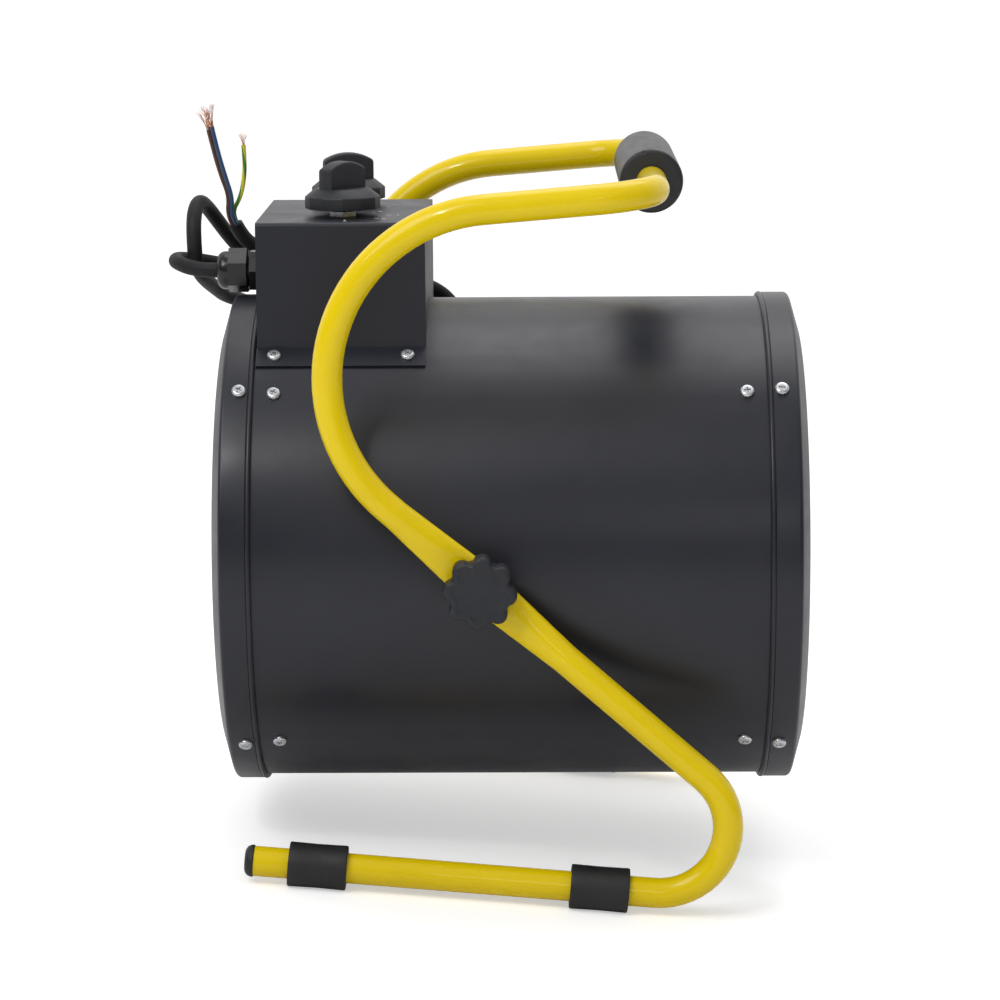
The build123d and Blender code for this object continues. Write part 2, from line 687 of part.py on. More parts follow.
# The can's thick wall stands for the windings inside it
with BuildPart() as motor:
    with BuildSketch(Plane.YZ.offset(motor_x0)):
        Circle(motor_d / 2)
    extrude(amount=motor_len)
    fillet(motor.edges().filter_by(GeomType.CIRCLE), 6)
    with BuildSketch(Plane.YZ.offset(motor_x0 + 16)):
        Circle(motor_d / 2 + 2.5)
    extrude(amount=motor_len - 32)
    with BuildSketch(Plane.YZ.offset(motor_x0 + motor_wall)):
        Circle(motor_d / 2 - motor_wall)
    extrude(amount=motor_len - 2 * motor_wall, mode=Mode.SUBTRACT)
    with BuildSketch(Plane.YZ.offset(motor_x0 + 2)):
        Circle(shaft_d / 2 + run_gap)
    extrude(amount=motor_len, mode=Mode.SUBTRACT)
keep(motor, "motor", lay_down)

with BuildPart() as motor_shaft:
    with BuildSketch(Plane.YZ.offset(motor_x0 + 2 + run_gap)):
        Circle(shaft_d / 2)
    extrude(amount=fan_x + fan_hub_len + 7 - motor_x0 - 2)
keep(motor_shaft, "motor_shaft", lay_down)

blade_pitch = 32.0
blade_t = 1.6
with BuildPart() as fan:
    with BuildSketch(Plane.YZ.offset(fan_x)):
        Circle(fan_hub_d / 2)
    extrude(amount=fan_hub_len)
    fillet(fan.edges().group_by(Axis.X)[-1], 5)
    for index in range(fan_blades):
        spin = radians(360 / fan_blades * index)
        out_dir = Vector(0, cos(spin), sin(spin))
        wide_dir = Vector(1, 0, 0).cross(out_dir)
        root = Vector(fan_x + fan_hub_len / 2, 0, 0) + out_dir * (fan_hub_d / 2 - 3)
        tip = Vector(fan_x + fan_hub_len / 2, 0, 0) + out_dir * (fan_d / 2)
        for_root = wide_dir * cos(radians(blade_pitch)) + Vector(1, 0, 0) * sin(radians(blade_pitch))
        for_tip = wide_dir * cos(radians(blade_pitch - 12)) + Vector(1, 0, 0) * sin(radians(blade_pitch - 12))
        with BuildSketch(Plane(origin=root, x_dir=for_root, z_dir=out_dir)):
            SlotOverall(34, blade_t)
        with BuildSketch(Plane(origin=tip, x_dir=for_tip, z_dir=out_dir)):
            SlotOverall(78, blade_t)
        loft()
    with BuildSketch(Plane.YZ.offset(fan_x - 1)):
        Circle(shaft_d / 2 + fit_gap / 10)
    extrude(amount=fan_hub_len + 2, mode=Mode.SUBTRACT)
keep(fan, "fan", lay_down)

with BuildPart() as fan_nut:
    with BuildSketch(Plane.YZ.offset(fan_x + fan_hub_len)):
        RegularPolygon(6.5, 6, major_radius=False)
        Circle(shaft_d / 2 + fit_gap / 10, mode=Mode.SUBTRACT)
    extrude(amount=6)
keep(fan_nut, "fan_nut", lay_down)

# --------------------------------------------------- heat shield and its clips
with BuildPart() as heat_shield:
    add(annulus(shield_x0, shield_x1, shield_r - shield_sheet, shield_r))
keep(heat_shield, "heat_shield", lay_down)

clip_t = 1.2
clip_half = 4.5
clip_x = screw_xs[1]
with BuildPart() as shield_clips:
    for angle in screw_angles:
        with BuildSketch(Plane.YZ.offset(clip_x - 6)):
            add(sector(shell_r - shell_sheet - fit_gap - clip_t, shell_r - shell_sheet - fit_gap,
                       angle - clip_half, angle + clip_half))
        extrude(amount=12)
        with BuildSketch(Plane.YZ.offset(clip_x - 6)):
            add(sector(shield_r + fit_gap, shell_r - shell_sheet - fit_gap,
                       angle - clip_half, angle + clip_half))
        extrude(amount=clip_t)
        with BuildSketch(Plane.YZ.offset(clip_x - 16)):
            add(sector(shield_r + fit_gap, shield_r + fit_gap + clip_t,
                       angle - clip_half, angle + clip_half))
        extrude(amount=10 + clip_t)
        with BuildSketch(on_drum(clip_x, angle, shell_r + 2)):
            Circle(shank_d / 2 + fit_gap)
        extrude(amount=-shank_len - 2, mode=Mode.SUBTRACT)
keep(shield_clips, "shield_clips", lay_down)

# --------------------------------------------------------------- heating rings
element_names = ("element_inner", "element_middle", "element_outer")
for name, ring_radius in zip(element_names, element_radii):
    start = 90 + element_gap / 2
    with BuildPart() as element:
        with BuildSketch(Plane.XZ) as section:
            with Locations((element_x, ring_radius)):
                Circle(element_d / 2)
        revolve(axis=Axis.X, revolution_arc=360 - element_gap)
        for turn, way in ((0, 1), (360 - element_gap, -1)):
            angle = radians(turn)
            radial = Vector(0, -sin(angle), cos(angle))
            along = Vector(0, -cos(angle), -sin(angle)) * -way
            end = Vector(element_x, 0, 0) + radial * ring_radius
            bend_centre = end - Vector(element_bend_r, 0, 0)
            with BuildSketch(Plane(origin=end, x_dir=radial, z_dir=along)):
                Circle(element_d / 2)
            revolve(axis=Axis(bend_centre, radial), revolution_arc=90 * way)
            leg_start = bend_centre + along * element_bend_r
            with BuildSketch(Plane(origin=leg_start, x_dir=radial, z_dir=(-1, 0, 0))):
                Circle(element_d / 2)
            extrude(amount=element_leg)
    keep(element, name, lay_down * Location((0, 0, 0), (element_gap / 2, 0, 0)))

with BuildPart() as element_spider:
    with BuildSketch(Plane.YZ.offset(spider_x)):
        for angle in (45, 135):
            Rectangle(2 * (shield_r - shield_sheet - fit_gap) - 1, spider_w, rotation=angle)
    extrude(amount=spider_t)
keep(element_spider, "element_spider", lay_down)

cutout_r = 8.0
cutout_x = shield_x0 + 22
with BuildPart() as thermal_cutout:
    with BuildSketch(Plane.XY.offset(shield_r + 0.05)):
        with Locations((cutout_x, 0)):
            Circle(cutout_r)
    extrude(amount=9)
    with BuildSketch(Plane.XY.offset(shield_r + 9)):
        with Locations((cutout_x - 4, 0), (cutout_x + 4, 0)):
            Rectangle(0.8, 6.3)
    extrude(amount=7)
keep(thermal_cutout, "thermal_cutout", lay_down)


# ------------------------------------------------------------------- stand tube
slope = radians(side_slope)
rise = radians(handle_rise)
down = Vector(cos(slope), 0, -sin(slope))          # along the side, towards the low bend
leg_corner = Vector(leg_drop / tan(slope), 0, -leg_drop)
half_turn = radians(180 - side_slope - handle_rise) / 2
high_corner = down * -(high_start + high_bend_r * tan(half_turn))
handle_dir = Vector(cos(rise), 0, sin(rise))
cross = high_corner + handle_dir * (high_bend_r * tan(half_turn) + handle_reach)
near = Vector(0, -side_offset, 0)
far = Vector(0, side_offset, 0)
leg_end = Vector(-leg_reach, 0, -leg_drop)


def round_run(points, radii, diameter):
    with BuildPart() as run:
        with BuildLine() as path:
            FilletPolyline(*[tuple(p) for p in points], radius=radii)
        with BuildSketch(Plane(origin=path.line @ 0, z_dir=path.line % 0)):
            Circle(diameter / 2)
        sweep()
    return run.part


def stand_solid(diameter, width, thick, overrun):
    """The whole bent tube as one solid, pressed flat where the pivots pass."""
    with BuildPart() as solid:
        for side in (near, far):
            start = side + leg_end - Vector(overrun, 0, 0)
            add(round_run([start, side + leg_corner, side + down * flat_end], [low_bend_r], diameter))
            for way in (1, -1):
                with BuildSketch(Plane(origin=side + down * flat_end * way, x_dir=(0, 1, 0), z_dir=down * -way)):
                    Circle(diameter / 2)
                with BuildSketch(Plane(origin=side + down * flat_half * way, x_dir=(0, 1, 0), z_dir=down * -way)):
                    SlotOverall(width, thick, rotation=90)
                loft()
            with BuildSketch(Plane(origin=side + down * flat_half, x_dir=(0, 1, 0), z_dir=down * -1)):
                SlotOverall(width, thick, rotation=90)
            extrude(amount=2 * flat_half)
        top = [near - down * flat_end, near + high_corner, near + cross,
               far + cross, far + high_corner, far - down * flat_end]
        add(round_run(top, [high_bend_r, cross_bend_r, cross_bend_r, high_bend_r], diameter))
    return solid.part


stand_outside = stand_solid(tube_d, flat_w, flat_t, 0)
stand_inside = stand_solid(tube_d - 2 * tube_wall, flat_w - 2 * tube_wall, flat_t - 2 * tube_wall, 1)
with BuildPart() as stand_tube:
    add(stand_outside)
    add(stand_inside, mode=Mode.SUBTRACT)
    with BuildSketch(Plane.XZ.offset(side_offset + tube_d)):
        Circle(stud_d / 2 + run_gap)
    extrude(amount=-2 * (side_offset + tube_d), mode=Mode.SUBTRACT)
keep(stand_tube, "stand_tube")

# --------------------------------------------- sleeves, plugs and handle grip
sleeve_drop = leg_drop
for side_name, side in (("near", near), ("far", far)):
    for end_name, sleeve_x in (("back", sleeve_back), ("front", sleeve_front)):
        with BuildPart() as sleeve:
            with BuildSketch(Plane.YZ.offset(sleeve_x - sleeve_len / 2)):
                with Locations((side.Y, -sleeve_drop)):
                    Circle(sleeve_d / 2)
                    Circle(tube_d / 2 + run_gap, mode=Mode.SUBTRACT)
            extrude(amount=sleeve_len)
            chamfer(sleeve.edges().filter_by(GeomType.CIRCLE), 0.5)
            with BuildSketch(Plane.YZ.offset(sleeve_x - sleeve_len / 2)):
                with Locations((side.Y, -sleeve_drop - sleeve_d / 2)):
                    Rectangle(sleeve_d, 2 * sleeve_flat)
            extrude(amount=sleeve_len, mode=Mode.SUBTRACT)
        keep(sleeve, f"foot_sleeve_{side_name}_{end_name}")
    with BuildPart() as plug:
        with BuildSketch(Plane(origin=side + leg_end, x_dir=(0, 1, 0), z_dir=(-1, 0, 0))):
            Circle(plug_flange_d / 2)
        extrude(amount=plug_dome)
        fillet(plug.edges().group_by(Axis.X)[0], plug_dome * 0.8)
        with BuildSketch(Plane(origin=side + leg_end, x_dir=(0, 1, 0), z_dir=(1, 0, 0))):
            Circle(tube_d / 2 - tube_wall - run_gap)
        extrude(amount=plug_insert)
    keep(plug, f"end_plug_{side_name}")

with BuildPart() as handle_grip:
    with BuildSketch(Plane(origin=cross - Vector(0, grip_len / 2, 0), x_dir=(1, 0, 0), z_dir=(0, 1, 0))):
        Circle(grip_d / 2)
        Circle(tube_d / 2 + run_gap, mode=Mode.SUBTRACT)
    extrude(amount=grip_len)
    chamfer(handle_grip.faces().filter_by(Axis.Y).edges().filter_by(GeomType.CIRCLE), grip_edge)
keep(handle_grip, "handle_grip")


# --------------------------------------------------------------- pivot hardware
def star_outline():
    """Plan of the star knob: a round body with a ring of round lobes."""
    with BuildSketch() as plan:
        Circle(star_d / 2 - star_waist)
        with PolarLocations(star_d / 2 - star_lobe_r, star_lobes):
            Circle(star_lobe_r)
    return plan.sketch


tube_face = side_offset + flat_t / 2
for side_name, way in (("near", -1), ("far", 1)):
    def across(distance):
        """Plane square to the pivot axis, looking outwards from this side."""
        return Plane(origin=(0, way * distance, 0), x_dir=(1, 0, 0), z_dir=(0, way, 0))

    head_start = tube_face + fit_gap + star_boss_len
    with BuildPart() as star_knob:
        with BuildSketch(across(tube_face + fit_gap)):
            Circle(star_boss_d / 2)
        extrude(amount=star_boss_len + 0.5)
        with BuildSketch(across(head_start)):
            add(star_outline())
        extrude(amount=star_thick)
        fillet(star_knob.faces().sort_by(Axis.Y)[0 if way < 0 else -1].edges(), star_edge_r)
        with BuildSketch(across(tube_face)):
            Circle(stud_d / 2)
        extrude(amount=star_boss_len + star_thick - 4, mode=Mode.SUBTRACT)
    keep(star_knob, f"star_knob_{side_name}")

    stud_start = shell_r - shell_sheet - plate_t - nut_t - 2
    with BuildPart() as stud:
        with BuildSketch(across(stud_start)):
            Circle(stud_d / 2)
        extrude(amount=tube_face + star_boss_len + star_thick - 4 - stud_start)
    keep(stud, f"knob_stud_{side_name}")

    with BuildPart() as spacer:
        with BuildSketch(across(shell_r + 0.05)):
            Circle(spacer_d / 2)
            Circle(stud_d / 2 + run_gap, mode=Mode.SUBTRACT)
        extrude(amount=side_offset - flat_t / 2 - shell_r - 0.05 - fit_gap)
    keep(spacer, f"pivot_spacer_{side_name}", lay_down)

    plate_out = shell_r - shell_sheet - run_gap
    half_angle = degrees(plate_size / 2 / shell_r)
    with BuildPart() as plate:
        with BuildSketch(Plane.YZ.offset(-plate_size / 2)):
            add(sector(plate_out - plate_t, plate_out, way * 90 - half_angle, way * 90 + half_angle))
        extrude(amount=plate_size)
        with BuildSketch(across(shell_r)):
            Circle(stud_d / 2 + run_gap)
        extrude(amount=-8, mode=Mode.SUBTRACT)
    keep(plate, f"pivot_plate_{side_name}", lay_down)

    nut_face = plate_out - plate_t - 0.25
    with BuildPart() as nut:
        with BuildSketch(across(nut_face)):
            RegularPolygon(nut_af / 2, 6, major_radius=False)
            Circle(stud_d / 2 + run_gap, mode=Mode.SUBTRACT)
        extrude(amount=-nut_t)
    keep(nut, f"pivot_nut_{side_name}", lay_down)

# -------------------------------------------- origin on the floor, then writing
cord_names = [name for name in pieces if name.startswith(("supply_cable", "core_", "strands_"))]
solid_box = Compound(children=[
    Compound(obj.wrapped) for name, obj in pieces.items() if name not in cord_names
]).bounding_box()
to_origin = Location((-(solid_box.min.X + solid_box.max.X) / 2, 0, -solid_box.min.Z))
print(f"pivot at {[round(v, 3) for v in to_origin.position]}")
for name, piece in pieces.items():
    placed = to_origin * piece
    placed.label = name
    export_step(placed, f"parts/{name}.step")
print(len(pieces), "pieces")
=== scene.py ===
import json
import math
import random

import bmesh
import bpy
from mathutils import Matrix, Vector


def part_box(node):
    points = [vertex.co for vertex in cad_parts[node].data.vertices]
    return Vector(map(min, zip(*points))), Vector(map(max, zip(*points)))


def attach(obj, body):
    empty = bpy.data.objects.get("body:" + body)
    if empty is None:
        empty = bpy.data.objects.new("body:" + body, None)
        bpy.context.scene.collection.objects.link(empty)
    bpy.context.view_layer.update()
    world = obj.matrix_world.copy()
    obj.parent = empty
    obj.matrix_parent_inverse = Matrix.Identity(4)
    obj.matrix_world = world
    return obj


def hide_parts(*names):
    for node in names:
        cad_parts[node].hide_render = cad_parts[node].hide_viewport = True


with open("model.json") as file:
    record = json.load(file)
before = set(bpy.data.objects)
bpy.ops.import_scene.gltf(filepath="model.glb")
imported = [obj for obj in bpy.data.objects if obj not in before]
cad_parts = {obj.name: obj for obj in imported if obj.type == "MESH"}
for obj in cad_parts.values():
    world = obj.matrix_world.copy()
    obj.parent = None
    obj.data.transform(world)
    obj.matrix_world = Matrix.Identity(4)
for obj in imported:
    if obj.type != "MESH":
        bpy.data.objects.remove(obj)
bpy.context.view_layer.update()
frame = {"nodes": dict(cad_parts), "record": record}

scene = bpy.context.scene
mm = 0.001
print("frame in:", len(frame["nodes"]), "CAD nodes")

# Everything on the drum is drawn level about the pivot and then tipped with it
pivot = Vector((-0.011362, 0.0, 0.174))
drumFrame = Matrix.Translation(pivot) @ Matrix.Rotation(math.radians(-4.9), 4, "Y")
pole = 0.02  # radius of a turned shape where it closes in the middle


# ways of working that many pieces share
def deselectAll():
    if bpy.context.mode != "OBJECT":
        bpy.ops.object.mode_set(mode="OBJECT")
    bpy.ops.object.select_all(action="DESELECT")


def only(piece):
    deselectAll()
    piece.select_set(True)
    bpy.context.view_layer.objects.active = piece


def openMesh(piece):
    only(piece)
    bpy.ops.object.mode_set(mode="EDIT")


def closeMesh():
    bpy.ops.object.mode_set(mode="OBJECT")


def pick(kind, test):
    # leaves selected just the faces, edges or verts that pass the test
    bpy.ops.mesh.select_mode(type=kind)
    bpy.ops.mesh.select_all(action="DESELECT")
    mesh = bmesh.from_edit_mesh(bpy.context.edit_object.data)
    parts = {"FACE": mesh.faces, "EDGE": mesh.edges, "VERT": mesh.verts}[kind]
    for part in parts:
        if test(part):
            part.select_set(True)
    mesh.select_flush_mode()
    bmesh.update_edit_mesh(bpy.context.edit_object.data)


def fresh(name):
    # the primitive just added, named, with its turn and place in its mesh
    piece = bpy.context.active_object
    piece.name = name
    piece.data.name = name
    only(piece)
    bpy.ops.object.transform_apply(location=True, rotation=True, scale=True)
    return piece


def smooth(piece, angle=32):
    only(piece)
    bpy.ops.object.shade_smooth_by_angle(angle=math.radians(angle))


def applyAll(piece):
    only(piece)
    for modifier in list(piece.modifiers):
        bpy.ops.object.modifier_apply(modifier=modifier.name)


def joined(name, *parts):
    deselectAll()
    for part in parts:
        part.select_set(True)
    bpy.context.view_layer.objects.active = parts[0]
    bpy.ops.object.join()
    parts[0].name = name
    parts[0].data.name = name
    return parts[0]


def copied(piece, name):
    twin = piece.copy()
    twin.data = piece.data.copy()
    twin.name = name
    twin.data.name = name
    scene.collection.objects.link(twin)
    return twin


def turned(name, profile, sides=96, shape=None):
    # a circle carried loop by loop along (height, radius) steps on the Z axis
    deselectAll()
    bottom, width = profile[0]
    bpy.ops.mesh.primitive_circle_add(vertices=sides, radius=width * mm, location=(0, 0, bottom * mm))
    piece = fresh(name)
    if shape:
        for vertex in piece.data.vertices:
            share = shape(math.atan2(vertex.co.y, vertex.co.x))
            vertex.co.x *= share
            vertex.co.y *= share
    openMesh(piece)
    bpy.ops.mesh.select_mode(type="EDGE")
    bpy.ops.mesh.select_all(action="SELECT")
    for (height, radius), (nextHeight, nextRadius) in zip(profile, profile[1:]):
        rise = (nextHeight - height) * mm
        bpy.ops.mesh.extrude_region_move(TRANSFORM_OT_translate={"value": (0, 0, rise)})
        share = nextRadius / radius
        bpy.ops.transform.resize(value=(share, share, 1), center_override=(0, 0, 0))
    bpy.ops.mesh.select_all(action="SELECT")
    bpy.ops.mesh.remove_doubles(threshold=0.01 * mm)
    bpy.ops.mesh.normals_make_consistent(inside=False)
    closeMesh()
    return piece


def roundTube(name, size, axis, sides, cuts):
    # a solid bar opened at both ends, its rims rounded and its sides cut across
    along = Vector({"X": (1, 0, 0), "Y": (0, 1, 0)}[axis])
    turn = {"X": (0, math.pi / 2, 0), "Y": (math.pi / 2, 0, 0)}[axis]
    deselectAll()
    bpy.ops.mesh.primitive_cylinder_add(vertices=sides, radius=size["radius"] * mm, depth=size["length"] * mm,
                                        rotation=turn)
    tube = fresh(name)
    openMesh(tube)
    pick("FACE", lambda f: abs(f.normal.dot(along)) > 0.9)
    bpy.ops.mesh.inset(thickness=(size["radius"] - size["bore"]) * mm, depth=0, use_boundary=True)
    bpy.ops.mesh.delete(type="FACE")
    pick("EDGE", lambda e: e.is_boundary)
    bpy.ops.mesh.bridge_edge_loops()
    end, rim = (size["length"] / 2 - 0.01) * mm, (size["radius"] - 0.2) * mm
    pick("EDGE", lambda e: all(abs(v.co.dot(along)) > end and v.co.cross(along).length > rim for v in e.verts))
    bpy.ops.mesh.bevel(offset=size["edge"] * mm, segments=5, profile=0.5, affect="EDGES")
    pick("EDGE", lambda e: abs((e.verts[0].co - e.verts[1].co).dot(along)) > size["length"] * mm * 0.6)
    bpy.ops.mesh.subdivide(number_cuts=cuts)
    bpy.ops.mesh.select_all(action="SELECT")
    bpy.ops.mesh.normals_make_consistent(inside=False)
    closeMesh()
    return tube


def settle(piece, place, body, slotName, *replaced):
    # puts the place in the mesh, gives the finish and hangs the piece on its body
    only(piece)
    if piece.type == "MESH":
        piece.matrix_world = place @ piece.matrix_world
        bpy.ops.object.transform_apply(location=True, rotation=True, scale=True)
    piece.data.materials.clear()
    piece.data.materials.append(finishes[slotName])
    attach(piece, body)
    if replaced:
        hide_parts(*replaced)
    return piece


# camera
shot = {"place": (-0.009697, -1.9684, 0.55147), "turn": (79.704276, -4.538818, 0.664547), "lens": 124.3}
deselectAll()
bpy.ops.object.camera_add(location=shot["place"], rotation=[math.radians(a) for a in shot["turn"]])
camera = bpy.context.active_object
camera.name = "camera"
camera.data.lens = shot["lens"]
camera.data.sensor_width = 36
camera.data.clip_end = 60
scene.camera = camera
print("camera set")


# finishes
def startFinish(name, colour, roughness, metallic=0.0, **more):
    finish = bpy.data.materials.new(name)
    finish.use_nodes = True
    shader = finish.node_tree.nodes["Principled BSDF"]
    shader.inputs["Base Color"].default_value = (*colour, 1)
    shader.inputs["Roughness"].default_value = roughness
    shader.inputs["Metallic"].default_value = metallic
    for socket, value in more.items():
        shader.inputs[socket.replace("_", " ")].default_value = value
    return finish, finish.node_tree, shader


def grain(tree, scale, detail=3.0, rough=0.5, warp=0.0):
    where = tree.nodes.new("ShaderNodeTexCoord")
    noise = tree.nodes.new("ShaderNodeTexNoise")
    noise.inputs["Scale"].default_value = scale
    noise.inputs["Detail"].default_value = detail
    noise.inputs["Roughness"].default_value = rough
    noise.inputs["Distortion"].default_value = warp
    tree.links.new(where.outputs["Object"], noise.inputs["Vector"])
    return noise.outputs[0]


def cells(tree, scale, output):
    where = tree.nodes.new("ShaderNodeTexCoord")
    voronoi = tree.nodes.new("ShaderNodeTexVoronoi")
    voronoi.inputs["Scale"].default_value = scale
    tree.links.new(where.outputs["Object"], voronoi.inputs["Vector"])
    return voronoi.outputs[output]


def ranged(tree, source, low, high, start=0.3, end=0.7):
    node = tree.nodes.new("ShaderNodeMapRange")
    for socket, value in (("From Min", start), ("From Max", end), ("To Min", low), ("To Max", high)):
        node.inputs[socket].default_value = value
    tree.links.new(source, node.inputs["Value"])
    return node.outputs["Result"]


def ramp(tree, source, stops):
    node = tree.nodes.new("ShaderNodeValToRGB")
    while len(node.color_ramp.elements) < len(stops):
        node.color_ramp.elements.new(0.5)
    for element, (place, colour) in zip(node.color_ramp.elements, stops):
        element.position = place
        element.color = (*colour, 1)
    tree.links.new(source, node.inputs["Fac"])
    return node.outputs["Color"]


def summed(tree, first, second, share=1.0):
    node = tree.nodes.new("ShaderNodeMath")
    node.operation = "MULTIPLY_ADD"
    tree.links.new(second, node.inputs[0])
    node.inputs[1].default_value = share
    tree.links.new(first, node.inputs[2])
    return node.outputs["Value"]


def relief(tree, shader, height, depth, strength=0.5):
    bump = tree.nodes.new("ShaderNodeBump")
    bump.inputs["Strength"].default_value = strength
    bump.inputs["Distance"].default_value = depth
    tree.links.new(height, bump.inputs["Height"])
    tree.links.new(bump.outputs["Normal"], shader.inputs["Normal"])


def coatedSteel(name, dark, light, roughness, peel, peelDepth, **more):
    # stoved paint: cloudy tone, uneven gloss, orange peel and a fine dust of grain
    finish, tree, shader = startFinish(name, dark, roughness[0], **more)
    tone = ramp(tree, grain(tree, 14, 4, 0.6), [(0.35, dark), (0.7, light)])
    gloss = ranged(tree, grain(tree, 26, 5, 0.65, 0.4), *roughness)
    tree.links.new(tone, shader.inputs["Base Color"])
    tree.links.new(gloss, shader.inputs["Roughness"])
    relief(tree, shader, summed(tree, grain(tree, peel, 2), grain(tree, peel * 5, 2), 0.25), peelDepth, 0.6)
    return finish


def barePlate(name, dark, light, roughness, scale, depth):
    # bright metal with a worked, slightly clouded surface
    finish, tree, shader = startFinish(name, light, roughness[0], 1.0)
    tone = ramp(tree, grain(tree, scale, 4, 0.6), [(0.3, dark), (0.68, light)])
    gloss = ranged(tree, grain(tree, scale * 2.5, 3, 0.6), *roughness)
    tree.links.new(tone, shader.inputs["Base Color"])
    tree.links.new(gloss, shader.inputs["Roughness"])
    relief(tree, shader, grain(tree, scale * 6, 2), depth, 0.4)
    return finish


def moulded(name, dark, light, roughness, texture, depth, **more):
    # moulded plastic or rubber with a fine eroded skin
    finish, tree, shader = startFinish(name, dark, roughness[0], **more)
    tone = ramp(tree, grain(tree, 40, 4, 0.6), [(0.3, dark), (0.72, light)])
    gloss = ranged(tree, grain(tree, 90, 3, 0.6), *roughness)
    tree.links.new(tone, shader.inputs["Base Color"])
    tree.links.new(gloss, shader.inputs["Roughness"])
    relief(tree, shader, grain(tree, texture, 3, 0.6), depth, 0.5)
    return finish


def spangled(name):
    # hot-dip zinc: large crystals, each with its own tone
    finish, tree, shader = startFinish(name, (0.5, 0.51, 0.53), 0.4, 1.0)
    flakes = cells(tree, 420, "Color")
    tone = tree.nodes.new("ShaderNodeRGBToBW")
    tree.links.new(flakes, tone.inputs["Color"])
    tree.links.new(ramp(tree, tone.outputs["Val"], [(0.2, (0.47, 0.48, 0.50)), (0.8, (0.58, 0.59, 0.61))]),
                   shader.inputs["Base Color"])
    tree.links.new(ranged(tree, tone.outputs["Val"], 0.36, 0.46, 0.2, 0.8), shader.inputs["Roughness"])
    relief(tree, shader, grain(tree, 300, 2), 0.00008, 0.3)
    return finish


def foamSkin(name):
    # closed-cell foam tube: fine cells under a soft skin
    finish, tree, shader = startFinish(name, (0.012, 0.0125, 0.015), 0.5)
    shader.inputs["Sheen Weight"].default_value = 0.06
    shader.inputs["Sheen Roughness"].default_value = 0.4
    tone = ramp(tree, grain(tree, 60, 4, 0.6), [(0.3, (0.0125, 0.013, 0.016)), (0.72, (0.021, 0.022, 0.025))])
    tree.links.new(tone, shader.inputs["Base Color"])
    tree.links.new(ranged(tree, grain(tree, 180, 3, 0.6), 0.36, 0.52), shader.inputs["Roughness"])
    relief(tree, shader, summed(tree, cells(tree, 1500, "Distance"), grain(tree, 260, 3), 0.8), 0.00016, 0.55)
    return finish


def heatedSteel(name):
    # tubular heating rings, straw and blue-grey from the heat
    finish, tree, shader = startFinish(name, (0.2, 0.17, 0.15), 0.45, 0.85)
    tree.links.new(ramp(tree, grain(tree, 30, 4, 0.6, warp=0.8),
                        [(0.3, (0.13, 0.115, 0.11)), (0.5, (0.21, 0.18, 0.15)), (0.7, (0.16, 0.16, 0.17))]),
                   shader.inputs["Base Color"])
    tree.links.new(ranged(tree, grain(tree, 220, 3, 0.6), 0.36, 0.58), shader.inputs["Roughness"])
    relief(tree, shader, grain(tree, 900, 3), 0.00008, 0.5)
    return finish


def stripedCore(name):
    # green insulation with yellow stripes that wind slowly round it
    finish, tree, shader = startFinish(name, (0.5, 0.5, 0.03), 0.38)
    unwrapped = tree.nodes.new("ShaderNodeAttribute")
    unwrapped.attribute_name = "stripe"
    tree.links.new(ramp(tree, unwrapped.outputs["Fac"],
                        [(0.0, (0.045, 0.22, 0.025)), (0.42, (0.05, 0.24, 0.03)), (0.5, (0.72, 0.62, 0.02)),
                         (1.0, (0.78, 0.66, 0.03))]), shader.inputs["Base Color"])
    relief(tree, shader, grain(tree, 900, 2), 0.00004, 0.3)
    return finish


